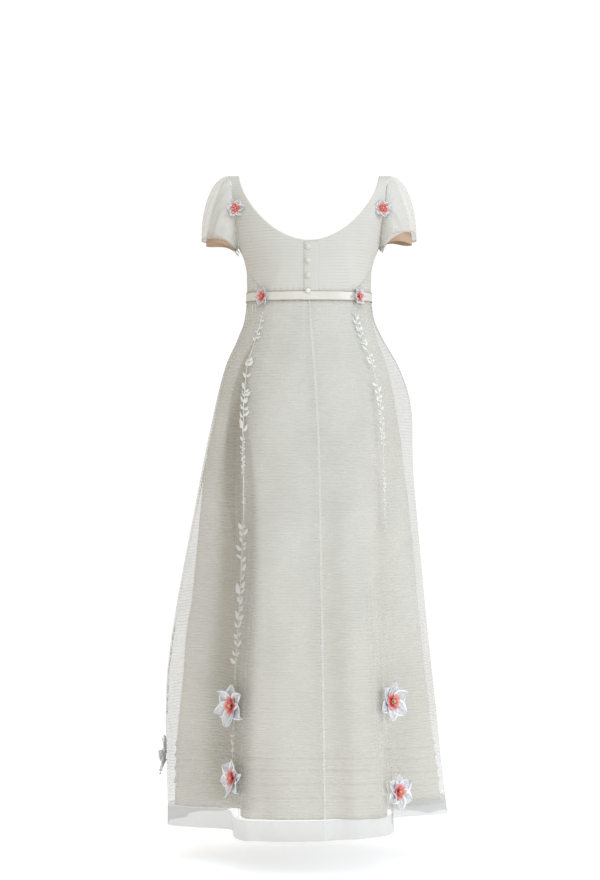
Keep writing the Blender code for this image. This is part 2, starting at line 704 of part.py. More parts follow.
# ---------------------------------------------------------------- leaf trims
def leaf_reach(run, stretches, side):
    """How far the trim reaches to one side of its stem: pointed leaves where it is leafy."""
    phase = (run / LEAF_LENGTH + (0.5 if side > 0 else 0.0)) % 1.0
    leaf = np.where(phase < 0.72, phase / 0.72, (1 - phase) / 0.28) ** 0.8
    leafy = np.zeros_like(run)
    for start, end in stretches:
        come = ease(run, start - 0.004, start + 0.012)
        leafy = np.maximum(leafy, come * (1 - ease(run, end - 0.012, end + 0.004)))
    return STEM_HALF + LEAF_REACH * leaf * leafy


def make_vines():
    """Leaf trims that lie on the seams of the overskirt, each a thin strip edged with leaves."""
    trees = trees_of([item for item in GOWN.objects if item.name.startswith("overlay")])
    for name, (seam, stretches) in VINES.items():
        start, end = stretches[0][0] - 0.012, stretches[-1][1] + 0.006
        leafy_steps = int((end - start) / (LEAF_LENGTH / 3))
        run = chain(start, end, leafy_steps)
        keep = np.ones(len(run), dtype=bool)
        for before, after in zip(stretches[:-1], stretches[1:]):
            bare = (run > before[1] + 0.010) & (run < after[0] - 0.010)
            keep &= ~(bare & (np.arange(len(run)) % 4 != 0))
        run = run[keep]
        centre = read(SEAMS, seam, "down", run)
        flat = np.linalg.norm(overlay(centre, run)[:, :2], axis=-1)
        reaches = np.stack([-leaf_reach(run, stretches, -1), leaf_reach(run, stretches, 1)], axis=1)
        angle = centre[:, None] + np.degrees(reaches / flat[:, None])
        down = np.broadcast_to(run[:, None], angle.shape)
        face = overlay(angle, down)
        outward = normals(overlay, angle, down)
        needed = []
        for station in range(len(run) - 1):
            corners = [(face[row, side], outward[row, side])
                       for row in (station, station + 1) for side in (0, 1)]
            heights = [0.0]
            for along in np.linspace(0.0, 1.0, 9):
                for over in np.linspace(0.0, 1.0, 13):
                    shares = [start * side for start in (1 - along, along) for side in (1 - over, over)]
                    spot = sum(corner[0] * share for corner, share in zip(corners, shares))
                    way = sum(corner[1] * share for corner, share in zip(corners, shares))
                    heights.append(height_over(trees, Vector(spot), Vector(way).normalized()))
            needed.append(max(heights))
        needed = np.array([needed[0]] + needed + [needed[-1]])
        lift = (np.maximum(needed[:-1], needed[1:]) + SEAM_GAP * 2)[:, None, None]
        wall(name, "petal", face + outward * (lift + TRIM_CLOTH), face + outward * lift)


# ---------------------------------------------------------------- flowers and buttons
def frame_from(normal):
    """Two directions across a normal: level, and up the cloth."""
    level = Vector((0.0, 0.0, 1.0)).cross(normal).normalized()
    return level, normal.cross(level).normalized()


def settle(points, faces, normal, carriers):
    """How far along the normal a piece stops, moved in from well clear of what carries it."""
    trees = trees_of(carriers)
    shift = DROP_FROM
    while shift > -DROP_FROM:
        piece = BVHTree.FromPolygons([point + normal * shift for point in points], faces)
        if any(tree.overlap(piece) for tree in trees):
            break
        shift -= DROP_STEP
    return shift + DROP_STEP + SEAM_GAP


def make_flower(name, centre, normal, radius, carriers, turn=0.0):
    """Six pointed petals round a raised five-petalled centre."""
    level, rise = frame_from(normal)
    columns = PETALS * len(PETAL_OUTLINE)

    def across(distance, angle):
        return (level * math.cos(angle) + rise * math.sin(angle)) * distance

    def rim(column):
        """The column's direction, its reach and its lift."""
        step = column % len(PETAL_OUTLINE)
        angle = turn + 2 * math.pi * column / columns
        return angle, radius * PETAL_OUTLINE[step], radius * PETAL_LIFT[step]

    points = [centre + normal * TRIM_CLOTH, centre]
    for height in (TRIM_CLOTH, 0.0):
        for column in range(columns):
            points.append(centre + across(radius * FLOWER_EYE, rim(column)[0]) + normal * height)
    for height in (TRIM_CLOTH, 0.0):
        for column in range(columns):
            angle, reach, lift = rim(column)
            points.append(centre + across(reach, angle) + normal * (height + lift))
    faces = []
    for column in range(columns):
        following = (column + 1) % columns
        top, low, tip, under = (2 + columns * ring for ring in range(4))
        faces += [(0, top + column, top + following), (1, low + column, low + following)]
        for first, second in ((top, tip), (low, under), (tip, under)):
            faces += [(first + column, first + following, second + following),
                      (first + column, second + following, second + column)]
    base = centre + normal * settle(points, faces, normal, carriers)
    points = [tuple(point + base - centre) for point in points]
    add_object(name + "_petals", "petal", closed_mesh(name + "_petals", points, faces))

    inner = radius * (FLOWER_EYE - 0.01)
    foot = base + normal * (TRIM_CLOTH + SEAM_GAP)
    columns = 2 * CENTRE_PETALS
    points = [tuple(foot + normal * inner * CENTRE_DIP)]
    for share, height in CENTRE_RINGS:
        for column in range(columns):
            reach = inner * share * (1.0 if column % 2 == 0 else CENTRE_NOTCH)
            spot = across(reach, turn + 2 * math.pi * column / columns)
            points.append(tuple(foot + spot + normal * inner * height))
    faces = [tuple(1 + 2 * columns + column for column in range(columns))]
    for column in range(columns):
        following = (column + 1) % columns
        faces.append((0, 1 + column, 1 + following))
        for ring in (0, 1):
            first, second = 1 + ring * columns, 1 + (ring + 1) * columns
            faces.append((first + column, first + following, second + following, second + column))
    add_object(name + "_centre", "coral", closed_mesh(name + "_centre", points, faces))


def make_flowers():
    """Two at the shoulders, two on the ribbon and six on the overskirt's seams."""
    things = bpy.data.objects
    for side, word in ((1, "left"), (-1, "right")):
        carriers = [things["bodice_back_" + word], things["sleeve_" + word], things["neck_binding"]]
        normal = Vector((side * 0.16, 0.98, 0.10)).normalized()
        make_flower("shoulder_flower_" + word, Vector((side * 0.153, 0.070, -0.0735)), normal,
                    SMALL_FLOWER, carriers)
    panels = [item for item in things if item.name.startswith(("overlay", "vine", "waist", "bodice"))]
    for angle, facing, word in zip(BELT_FLOWER_ANGLES, BELT_FLOWER_FACING, ("left", "right")):
        spot = Vector(overlay(np.array(angle), np.array(WAIST + 0.001)))
        turned = math.radians(facing)
        normal = Vector((math.sin(turned), math.cos(turned), FLOWER_RISE)).normalized()
        make_flower("belt_flower_" + word, spot, normal, SMALL_FLOWER, panels, turn=0.3)
    for row in range(len(SKIRT_FLOWERS["down"])):
        flower = {name: values[row] for name, values in SKIRT_FLOWERS.items()}
        down = flower["down"]
        angle = np.array(read(SEAMS, flower["seam"], "down", down) + flower["past"])
        spot = Vector(overlay(angle, np.array(down)))
        facing = math.radians(flower["facing"])
        normal = Vector((math.sin(facing), math.cos(facing), FLOWER_RISE)).normalized()
        make_flower("hem_flower_%d" % (row + 1), spot, normal, float(flower["radius"]), panels,
                    turn=0.2 * row)


def make_buttons():
    """Three covered buttons down the placket and a pearl button at the ribbon."""
    placket = [bpy.data.objects["back_placket"], bpy.data.objects["waist_ribbon"]]
    specs = [("button_%d" % (row + 1), "organza", down, BUTTON_RADIUS, BUTTON_HEIGHT)
             for row, down in enumerate(BUTTON_DOWNS)]
    specs.append(("pearl_button", "pearl", 0.2460, 0.0052, 0.0034))
    for name, kind, down, radius, height in specs:
        angle = oval_angle(np.array(0.0025) / read(BODICE, "half_width", "down", down))
        girth = girth_at(down)
        centre = Vector(bodice(angle, girth))
        normal = Vector(bodice_outward(angle, girth))
        shape = bmesh.new()
        bmesh.ops.create_cone(shape, cap_ends=True, segments=16, radius1=radius, radius2=radius * 0.55,
                              depth=height)
        turn = normal.to_track_quat("Z", "Y").to_matrix().to_4x4()
        bmesh.ops.transform(shape, matrix=turn, verts=shape.verts)
        bmesh.ops.translate(shape, vec=centre + normal * height / 2, verts=shape.verts)
        shape.verts.index_update()
        points = [vertex.co.copy() for vertex in shape.verts]
        faces = [[vertex.index for vertex in face.verts] for face in shape.faces]
        rest = normal * settle(points, faces, normal, placket)
        bmesh.ops.translate(shape, vec=rest, verts=shape.verts)
        mesh = bpy.data.meshes.new(name)
        shape.to_mesh(mesh)
        shape.free()
        add_object(name, kind, mesh)


# ---------------------------------------------------------------- the gown
for old in list(bpy.data.objects):
    bpy.data.objects.remove(old, do_unlink=True)
GOWN = bpy.data.collections.new("regency_gown")
bpy.context.scene.collection.children.link(GOWN)

make_bodice()
make_placket()
make_neck_binding()
make_sleeves()
make_lining()
make_overskirt()
make_ribbon()
make_vines()
make_flowers()
make_buttons()
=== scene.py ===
# %% [markdown]
# # A regency gown in sheer organza
#
# The gown has a high waist, small puffed sleeves and two skirts: an opaque ivory lining, and
# a sheer crinkled overskirt that hangs a little away from it.  Satin ribbon marks the waist,
# leaf trims run down the seams, and cloth flowers sit on the shoulders, ribbon and hem.
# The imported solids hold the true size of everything, so they are loaded first, and every
# cloth here is a finer shell on the same surfaces.

# %% Load the solids
import math

import bmesh
import bpy
import numpy as np
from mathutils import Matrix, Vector


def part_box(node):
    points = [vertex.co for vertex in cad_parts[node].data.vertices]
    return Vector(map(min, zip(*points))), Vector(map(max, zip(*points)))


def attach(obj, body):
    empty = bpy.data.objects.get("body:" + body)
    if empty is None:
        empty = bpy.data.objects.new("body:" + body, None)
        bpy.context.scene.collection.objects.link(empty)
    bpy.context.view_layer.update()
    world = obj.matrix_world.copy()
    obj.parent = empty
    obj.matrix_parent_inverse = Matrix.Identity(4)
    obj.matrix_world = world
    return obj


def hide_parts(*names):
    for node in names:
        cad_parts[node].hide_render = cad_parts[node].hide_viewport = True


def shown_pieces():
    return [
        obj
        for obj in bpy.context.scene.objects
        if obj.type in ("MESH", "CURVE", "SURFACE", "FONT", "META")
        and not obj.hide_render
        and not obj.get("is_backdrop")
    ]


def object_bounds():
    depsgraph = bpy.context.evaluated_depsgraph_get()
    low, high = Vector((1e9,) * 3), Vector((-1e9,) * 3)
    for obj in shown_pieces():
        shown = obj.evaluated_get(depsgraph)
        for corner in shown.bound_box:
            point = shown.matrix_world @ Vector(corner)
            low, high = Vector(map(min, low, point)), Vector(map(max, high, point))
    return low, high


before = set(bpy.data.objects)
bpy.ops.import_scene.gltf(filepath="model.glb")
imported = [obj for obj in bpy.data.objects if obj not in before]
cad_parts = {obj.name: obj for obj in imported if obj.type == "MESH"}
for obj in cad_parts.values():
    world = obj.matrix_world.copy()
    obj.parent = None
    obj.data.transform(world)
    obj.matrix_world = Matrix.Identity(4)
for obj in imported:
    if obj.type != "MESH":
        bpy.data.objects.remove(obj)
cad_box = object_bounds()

scene = bpy.context.scene
print("solids:", len(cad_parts), "box:", cad_box)

# %% [markdown]
# ## Levels
#
# A dressmaker measures down from the shoulders, and so does everything below.  The levels
# could be typed in, but reading them from the solids keeps both models the same size.

# %% Levels, read from the solids
def level(node, top):
    """How far below the shoulders a solid starts or ends, to the nearest millimetre."""
    low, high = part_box(node)
    return round(-(high if top else low)[2], 3)


WAIST = level("overlay_front", True)
OVERLAY_HEM = level("overlay_front", False)
LINING_HEM = level("lining_front", False)
RIBBON_TOP = level("waist_ribbon", True)
RIBBON_BOTTOM = level("waist_ribbon", False)
print("waist", WAIST, "ribbon", RIBBON_TOP, RIBBON_BOTTOM, "hems", LINING_HEM, OVERLAY_HEM)

# %% [markdown]
# ## The body of measurements
#
# Each level section of a bodice or skirt is an oval that is a little squarer than an ellipse.
# A table gives its half-width and depths at some levels, and a smooth curve that never
# overshoots runs between the rows, as a pattern cutter's curved ruler does.

# %% Tables and curves
def table(columns, *rows):
    """A small table: one array for each named column, one entry for each row."""
    return {name: np.array(values) for name, values in zip(columns.split(), zip(*rows))}


def read(rows, column, key, where):
    """A table's column at `where`, on a smooth curve that never overshoots its rows."""
    xs, ys = rows[key].astype(float), rows[column].astype(float)
    step = np.diff(xs)
    rise = np.diff(ys) / step
    slope = np.zeros_like(ys)
    slope[0], slope[-1] = rise[0], rise[-1]
    same = rise[:-1] * rise[1:] > 0
    total = np.where(same, rise[:-1] + rise[1:], 1.0)
    slope[1:-1] = np.where(same, 2 * rise[:-1] * rise[1:] / total, 0.0)
    where = np.clip(where, xs[0], xs[-1])
    left = np.clip(np.searchsorted(xs, where, side="right") - 1, 0, len(step) - 1)
    share = (where - xs[left]) / step[left]
    blend = share * share * (3 - 2 * share)
    bend = share * (1 - share) * step[left]
    return (ys[left] * (1 - blend) + ys[left + 1] * blend
            + bend * (slope[left] * (1 - share) - slope[left + 1] * share))


def ease(value, start, end):
    """0 before start, 1 after end, and a smooth rise between."""
    share = np.clip((value - start) / (end - start), 0.0, 1.0)
    return share * share * (3 - 2 * share)


def around_from(angle, centre):
    """Degrees from a centre, between -180 and 180."""
    return (angle - centre + 180.0) % 360.0 - 180.0


def unit(vectors):
    """Vectors of the same directions, one long."""
    return vectors / np.maximum(np.linalg.norm(vectors, axis=-1, keepdims=True), 1e-12)


# %% Ovals and normals
OVAL = 2.3                # 2 would be an ellipse, and more is squarer


def unit_oval(angle):
    """A point of the unit oval at an angle in degrees from centre back."""
    sine, cosine = np.sin(np.radians(angle)), np.cos(np.radians(angle))
    size = (np.abs(sine) ** OVAL + np.abs(cosine) ** OVAL) ** (-1 / OVAL)
    return size * sine, size * cosine


def oval_angle(share):
    """The angle at which the unit oval lies this share of its half-width from the middle."""
    share = np.clip(share, -1.0, 1.0)
    depth = (1 - np.abs(share) ** OVAL) ** (1 / OVAL)
    return np.degrees(np.arctan2(share, depth))


def normals(surface, first, second, inside=None):
    """Unit normals of a surface, by small steps, facing away from `inside`."""
    nudge = 1e-4
    along = surface(first + nudge * 50, second) - surface(first - nudge * 50, second)
    down = surface(first, second + nudge) - surface(first, second - nudge)
    normal = unit(np.cross(along, down))
    away = surface(first, second) - (np.zeros(3) if inside is None else inside)
    if inside is None:
        away[..., 2] = 0
    facing = np.sum(normal * away, axis=-1, keepdims=True)
    return normal * np.where(facing < 0, -1.0, 1.0)


# %% [markdown]
# ## The bodice surface
#
# The bodice wraps the chest and rounds over the shoulders to the strap tops.  One function
# takes an angle round the figure and a "girth", which runs from the strap top (0) through
# the end of the shoulder's round (1) down to the waist.

# %% The bodice surface
SHOULDER_ROUND = 0.100    # radius of the cloth's turn over the shoulder
NECK_HALF = 0.150         # from the middle to the neckline's end at a strap
NECK_BACK_DROP = 0.1445
NECK_FRONT_DROP = 0.128
NECK_CURVE = (1.9, 1.5)   # both 2 would be an ellipse; less is more pointed
ARMHOLE_DEPTH = 0.152
CUP_DEPTH = 0.020         # how far the bust stands out
CUP_DOWN = 0.172
CUP_ANGLE = 33.0          # degrees from centre front
CUP_SPREAD = (21.0, 0.034)  # degrees round, and metres down
BODICE = table(
    "down    half_width  back    front",
    (0.000, 0.188, 0.105, 0.098),
    (0.060, 0.181, 0.105, 0.101),
    (0.100, 0.168, 0.105, 0.108),
    (0.150, 0.148, 0.103, 0.118),
    (0.180, 0.136, 0.100, 0.117),
    (0.210, 0.131, 0.097, 0.108),
    (0.256, 0.130, 0.095, 0.097),
)
SIDE_SEAM = table(
    "down    angle",
    (ARMHOLE_DEPTH, 90.0),
    (0.1830, 79.0),
    (0.2100, 64.0),
    (0.2400, 46.5),
    (0.2560, 41.0),
)
ARMHOLE = table(
    "around  from_side",
    (0.0, 29.0),
    (57.0, 33.5),
    (85.0, 33.5),
    (111.0, 28.5),
    (147.0, 17.5),
    (180.0, 0.0),
)


def girth_at(down):
    """Position along the bodice: 0 at the strap top, 1 where the shoulder's round ends."""
    down = np.asarray(down, dtype=float)
    upper = np.arccos(1 - np.minimum(down, SHOULDER_ROUND) / SHOULDER_ROUND) / (math.pi / 2)
    return np.where(down < SHOULDER_ROUND, upper, down / SHOULDER_ROUND)


def down_at(girth):
    """The level of a place on the bodice."""
    turn = np.clip(girth, -1.0, 1.0) * math.pi / 2
    return SHOULDER_ROUND * (1 - np.cos(turn)) + (np.maximum(girth, 1.0) - 1.0) * SHOULDER_ROUND


def bodice(angle, girth):
    """The bodice's outer face."""
    turn = np.clip(girth, -1.0, 1.0) * math.pi / 2
    down = down_at(girth)
    from_front = np.abs(np.abs(angle) - 180.0)
    cups = np.exp(-((from_front - CUP_ANGLE) / CUP_SPREAD[0]) ** 2 - ((down - CUP_DOWN) / CUP_SPREAD[1]) ** 2)
    hollow = 1 - ease(down, 0.225, 0.256)
    depth_back = read(BODICE, "back", "down", down)
    depth_front = read(BODICE, "front", "down", down) + CUP_DEPTH * cups * hollow
    across, along = unit_oval(angle)
    depth = np.where(along >= 0, depth_back, depth_front) * np.sin(turn)
    x = across * read(BODICE, "half_width", "down", down)
    return np.stack(np.broadcast_arrays(x, along * depth, -down), axis=-1)


def bodice_outward(angle, girth):
    """The bodice's unit normals."""
    return normals(bodice, angle, girth, inside=np.array([0.0, 0.0, -0.150]))


def neckline(share, front):
    """Angle and girth along the neckline's left half: share 0 at the middle, 1 at the strap."""
    turn = (1 - np.asarray(share, dtype=float)) * math.pi / 2
    across = NECK_HALF * np.cos(turn) ** (2 / NECK_CURVE[0])
    down = (NECK_FRONT_DROP if front else NECK_BACK_DROP) * np.sin(turn) ** (2 / NECK_CURVE[1])
    angle = oval_angle(across / read(BODICE, "half_width", "down", down))
    return (180.0 - angle if front else angle), girth_at(down)


def armhole(around):
    """Angle and girth round the left armhole: 0 at the shoulder, over the back to 180 under
    the arm, and on over the front to 360."""
    around = np.asarray(around, dtype=float) % 360.0
    from_top = np.where(around <= 180, around, 360 - around)
    from_side = read(ARMHOLE, "from_side", "around", from_top)
    down = ARMHOLE_DEPTH * (1 - np.cos(np.radians(from_top))) / 2
    return 90.0 + np.where(around <= 180, -from_side, from_side), girth_at(down)


# %% [markdown]
# ## The skirt surface
#
# Both skirts hang from one oval at the waist and flare to the hem.  Troughs start at
# different heights and deepen on the way down: two deep ones lie behind the edges of the
# back panel, and the rest are shallower and uneven.  The overskirt follows the lining's
# troughs less closely and billows away from it at the sides.

# %% The skirt surface
WAIST_BACK, WAIST_FRONT = 0.095, 0.097
HEM_BACK, HEM_FRONT = 0.230, 0.250
DEEPENING = 1.15          # 1 would deepen a trough evenly on the way down
TROUGH_SHAPE = 0.75       # 1 would be a plain wave, and less is broader
SKIRT = table(
    "down    left    right",
    (0.256, 0.130, 0.130),
    (0.300, 0.133, 0.133),
    (0.344, 0.145, 0.145),
    (0.397, 0.167, 0.167),
    (0.460, 0.184, 0.184),
    (0.554, 0.203, 0.200),
    (0.708, 0.226, 0.216),
    (0.903, 0.250, 0.234),
    (1.080, 0.276, 0.253),
    (1.197, 0.286, 0.267),
    (1.360, 0.290, 0.288),
)
FOLDS = table(
    "top      hem    backward  forward  depth   start",
    (62.0, 60.0, 36.0, 28.0, 0.125, 0.330),
    (-66.0, -65.0, 37.0, 27.0, 0.118, 0.360),
    (-10.0, -12.5, 7.0, 7.0, 0.009, 0.500),
    (24.0, 20.0, 7.0, 6.0, 0.006, 0.560),
    (-27.0, -25.0, 6.0, 8.0, 0.005, 0.620),
    (108.0, 112.0, 9.0, 12.0, 0.024, 0.480),
    (-112.0, -116.0, 10.0, 7.0, 0.018, 0.560),
    (134.0, 139.0, 10.0, 9.0, 0.030, 0.430),
    (-137.0, -142.0, 10.0, 11.0, 0.022, 0.400),
    (158.0, 161.0, 9.0, 10.0, 0.020, 0.600),
    (-160.0, -164.0, 8.0, 9.0, 0.022, 0.520),
    (176.0, 179.0, 7.0, 8.0, 0.015, 0.760),
)
SEAMS = table(
    "down   centre   back_left  back_right  front_left  front_right",
    (0.256, 0.0, 43.5, -42.0, 112.0, -122.0),
    (0.380, -3.0, 44.8, -44.9, 106.0, -123.0),
    (0.550, -5.2, 41.5, -46.8, 101.0, -124.0),
    (0.720, -6.0, 38.6, -47.5, 98.0, -125.0),
    (0.900, -6.4, 38.6, -45.5, 96.0, -126.0),
    (1.080, -6.5, 39.0, -43.5, 95.0, -127.0),
    (1.220, -6.5, 38.5, -42.5, 94.5, -127.0),
    (1.360, -6.3, 37.5, -42.0, 94.0, -128.0),
)
BILLOWS = table(
    "angle   down    reach   spread  height",
    (92.0, 0.950, 0.020, 34.0, 0.230),
    (-92.0, 0.470, 0.019, 34.0, 0.110),
    (150.0, 0.900, 0.012, 30.0, 0.260),
    (-150.0, 0.820, 0.013, 30.0, 0.260),
    (176.0, 1.150, 0.008, 20.0, 0.200),
)


def rows_of(rows):
    """The rows of a table, one small dictionary at a time."""
    for row in range(len(next(iter(rows.values())))):
        yield {name: values[row] for name, values in rows.items()}


def fold_depth(angle, down):
    """How deep the skirt's troughs are at a place."""
    depth = np.zeros(np.broadcast(angle, down).shape)
    for fold in rows_of(FOLDS):
        share = np.clip((down - fold["start"]) / (OVERLAY_HEM - fold["start"]), 0.0, 1.0)
        centre = fold["top"] + (fold["hem"] - fold["top"]) * share
        offset = around_from(angle, centre) * (1.0 if fold["top"] >= 0 else -1.0)
        reach = np.where(offset < 0, fold["backward"], fold["forward"])
        across = np.clip(np.abs(offset) / reach, 0.0, 1.0)
        depth += fold["depth"] * share ** DEEPENING * (0.5 + 0.5 * np.cos(math.pi * across)) ** TROUGH_SHAPE
    return depth


def skirt(angle, down, stand_off, fold_share):
    """The skirt's face, moved out by stand_off, with a share of the troughs' depth."""
    share = (down - WAIST) / (OVERLAY_HEM - WAIST)
    across, along = unit_oval(angle)
    depth = np.where(along >= 0, WAIST_BACK + (HEM_BACK - WAIST_BACK) * share,
                     WAIST_FRONT + (HEM_FRONT - WAIST_FRONT) * share)
    left, right = (read(SKIRT, side, "down", down) for side in ("left", "right"))
    x = across * np.where(across >= 0, left, right)
    y = along * depth
    reach = np.hypot(x, y)
    scale = 1 + (stand_off - fold_share * fold_depth(angle, down)) / reach
    return np.stack(np.broadcast_arrays(x * scale, y * scale, -down), axis=-1)


LINING_SIDES = table(     # how far the lining stands out more at each side
    "down    left     right",
    (0.256, 0.0000, 0.0000),
    (0.300, 0.0020, 0.0000),
    (0.355, 0.0045, -0.0010),
    (0.420, 0.0062, -0.0030),
    (0.500, 0.0062, -0.0060),
    (0.617, 0.0085, -0.0060),
    (0.680, 0.0050, -0.0030),
    (0.890, 0.0000, -0.0030),
    (0.935, 0.0020, -0.0030),
    (1.070, -0.0070, -0.0030),
    (1.318, -0.0060, -0.0030),
)
HOLLOWS = table(          # long soft hollows in the lining; `veil` is the overskirt's share
    "angle   lean    inner   outer   depth    start   end    veil",
    (51.5, 1.0, 4.5, 8.0, 0.0420, 0.330, 1.000, 0.12),
    (60.0, 1.0, 6.0, 6.0, 0.0120, 0.480, 1.500, 0.12),
    (38.0, -2.0, 9.0, 7.0, 0.0135, 0.440, 1.600, 0.80),
    (-56.0, -3.0, 8.0, 12.0, 0.0060, 0.380, 0.800, 0.35),
    (-5.0, 0.0, 20.0, 12.0, 0.0130, 0.400, 2.100, 0.95),
)


def hollow(angle, down, veil=False):
    """Depth of the long soft hollows, in the lining or in the overskirt's veil."""
    depth = np.zeros(np.broadcast(angle, down).shape)
    for row in rows_of(HOLLOWS):
        along = (down - row["start"]) / (row["end"] - row["start"])
        offset = around_from(angle, row["angle"] + row["lean"] * along) * np.sign(row["angle"])
        offset = offset / np.where(offset < 0, row["inner"], row["outer"])
        swell = ease(along, 0.0, 0.30) * (1 - ease(along, 0.45, 1.0))
        depth = depth + row["depth"] * swell * np.exp(-offset ** 2) * (row["veil"] if veil else 1.0)
    return depth


LINING_INSET = 0.0016     # so that the lining passes inside the waist seam
OVERLAY_STAND = 0.0065    # how far the overskirt hangs off the hips
OVERLAY_SHARE = 0.90      # of the lining's troughs, that the overskirt follows


def lining(angle, down):
    """The lining's outer face, which hangs just inside the overskirt's waist."""
    points = skirt(angle, down, -LINING_INSET - hollow(angle, down), 1.0)
    across, _ = unit_oval(angle)
    left, right = (read(LINING_SIDES, side, "down", down) for side in ("left", "right"))
    points[..., 0] += across * np.where(across >= 0, left, right)
    return points


def overlay(angle, down):
    """The sheer overskirt's outer face."""
    stand_off = OVERLAY_STAND * ease(down, WAIST, 0.400)
    for billow in rows_of(BILLOWS):
        offset = around_from(angle, billow["angle"]) / billow["spread"]
        height = (down - billow["down"]) / billow["height"]
        stand_off = stand_off + billow["reach"] * np.exp(-offset ** 2 - height ** 2)
    stand_off = stand_off * ease(down, WAIST, 0.330) - hollow(angle, down, veil=True)
    return skirt(angle, down, stand_off, OVERLAY_SHARE)


HEM_RISE = 0.022          # of the hem at the right flank
BACK_RISE = 0.010         # of the part of it that starts behind
RISE_STARTS = 1.20        # above this level the cloth isn't drawn up


def hang(angle, down):
    """Levels of the overskirt, whose hem hangs higher round the right flank."""
    beside = -around_from(angle, 0.0)
    rise = BACK_RISE * ease(beside, 0.0, 42.0) + (HEM_RISE - BACK_RISE) * ease(beside, 43.0, 60.0)
    rise = rise * (1 - ease(beside, 100.0, 124.0))
    return down - rise * np.clip((down - RISE_STARTS) / (OVERLAY_HEM - RISE_STARTS), 0.0, 1.0)


def seam_angle(seam, down):
    """The angle of a skirt seam at a level."""
    return read(SEAMS, seam, "down", down)


# %% [markdown]
# ## The sleeve surface
#
# A puffed sleeve is cut wider than the armhole and drawn in at the cuff.  Each thread of
# it runs on a soft curve from a point of the armhole to a point of the cuff, and the
# curve's start and end directions give the puff.  The same curve with less fullness
# makes the close lining tube inside.

# %% The sleeve surface
ARMHOLE_STEP = 20.0       # degrees between the bodice's own corners at the armhole
CUFF_OUT = 0.187          # from the gown's middle to the cuff's
CUFF_HALF = (0.0375, 0.055)
CUFF_DOWN = 0.138
CUFF_FALL = 0.028         # how much lower the cuff lies under the arm
SLEEVE_GATHERS = 9
GATHER_DEPTH = 0.0016
SLEEVE_SEAM = 0.0005
SLEEVE_MIDDLE = np.array([0.182, 0.0, -0.090])


def armhole_station(around, inset):
    """A point just inside the armhole's edge, and then inset towards the sleeve's middle."""
    angle, girth = armhole(around)
    edge = bodice(angle, girth)
    tangent = bodice(*armhole(around + 1.0)) - bodice(*armhole(around - 1.0))
    into_hole = unit(np.cross(tangent, bodice_outward(angle, girth)))
    to_middle = unit(SLEEVE_MIDDLE - edge)
    return edge + into_hole * SLEEVE_SEAM + np.array([SLEEVE_SEAM, 0.0, 0.0]) + to_middle * inset


def armhole_edge(around, inset):
    """The sleeve's seam, straight between the stations of the bodice's own edge."""
    station = np.floor(around / ARMHOLE_STEP) * ARMHOLE_STEP
    share = ((around - station) / ARMHOLE_STEP)[..., None]
    return (armhole_station(station, inset) * (1 - share)
            + armhole_station(station + ARMHOLE_STEP, inset) * share)


def sleeve(around, share, inset=0.0, cuff_inset=0.0, drop=0.0, fullness=1.0):
    """The sleeve from the armhole's edge (share 0) to its cuff (share 1), on a soft curve that
    starts along `leave` and ends along `arrive`; the longer they are, the fuller the puff."""
    start = armhole_edge(around, inset)
    turn = np.radians(around)
    outer = (1 + np.cos(turn)) / 2
    half_width, half_depth = (half - cuff_inset for half in CUFF_HALF)
    end = np.stack([CUFF_OUT + half_width * np.cos(turn), half_depth * np.sin(turn),
                    -CUFF_DOWN - CUFF_FALL * (1 - outer) ** 4 - drop * (0.4 + 0.6 * outer)], axis=-1)
    leave = np.stack([0.010 + 0.125 * outer * fullness, 0.060 * fullness * np.sin(turn),
                      -0.012 - 0.012 * outer], axis=-1)
    arrive = np.stack([-0.004 * outer, -0.028 * fullness * np.sin(turn), -0.012 - 0.085 * outer], axis=-1)
    s = np.asarray(share, dtype=float)[..., None]
    return (start * (1 + 2 * s) * (1 - s) ** 2 + end * s * s * (3 - 2 * s)
            + leave * s * (1 - s) ** 2 - arrive * s * s * (1 - s))


# %% [markdown]
# ## The crinkle
#
# The organza is woven with slack crosswise threads, so it puckers in thin level ripples
# about 6.6 mm apart that come and go along their length.  A wave gives the ripples, and
# smooth noise bends them, fades them and breaks them up.  It is real relief on the mesh,
# so it also shows on the hem's edge and in the light that rakes across.

# %% Smooth noise and the crinkle
def soft_noise(x, y, seed):
    """Smooth noise from -1 to 1, with one value for each whole number of x and y."""
    lattice = np.random.default_rng(seed).uniform(-1, 1, (97, 89))
    x, y = np.broadcast_arrays(x, y)
    column, row = np.floor(x).astype(int), np.floor(y).astype(int)
    right, down = x - column, y - row
    right, down = right * right * (3 - 2 * right), down * down * (3 - 2 * down)

    def corner(i, j):
        return lattice[(column + i) % 97, (row + j) % 89]

    return ((corner(0, 0) * (1 - right) + corner(1, 0) * right) * (1 - down)
            + (corner(0, 1) * (1 - right) + corner(1, 1) * right) * down)


RIPPLE = 0.0066           # from one crosswise ripple to the next
RIPPLE_HEIGHT = 0.00026


def ripple_wave(across, down, sine):
    """The wave of the ripples from -1 to 1, wandering a little.  It is one formula for the
    mesh and for the finish, whose `sine` differs, so the finish's dark lines, partly painted shade, lie in
    the grooves."""
    bend = sine(across * 31.0 + sine(down * 21.0) * 1.1) * 0.15
    bend = bend + sine(across * 97.0 - down * 47.0) * 0.04
    return sine((down * (1 / RIPPLE) + bend) * (2 * math.pi))


def crinkle(across, down, seed=0):
    """Height of the organza's ripples, from metres along the weft and down the cloth."""
    wave = ripple_wave(across, down, np.sin)
    groove = -np.maximum(wave, 0.0) ** 2 + 0.25 * wave
    patch = 0.5 + 0.5 * soft_noise(across / 0.045, down / 0.150, seed + 5)
    dashes = 0.75 + 0.35 * soft_noise(across / 0.021, down / RIPPLE, seed + 3)
    strength = (0.40 + 0.80 * patch) * dashes
    uneven = soft_noise(across / 0.031, down / 0.0130, seed + 4)
    return RIPPLE_HEIGHT * (groove * strength + 0.15 * uneven)


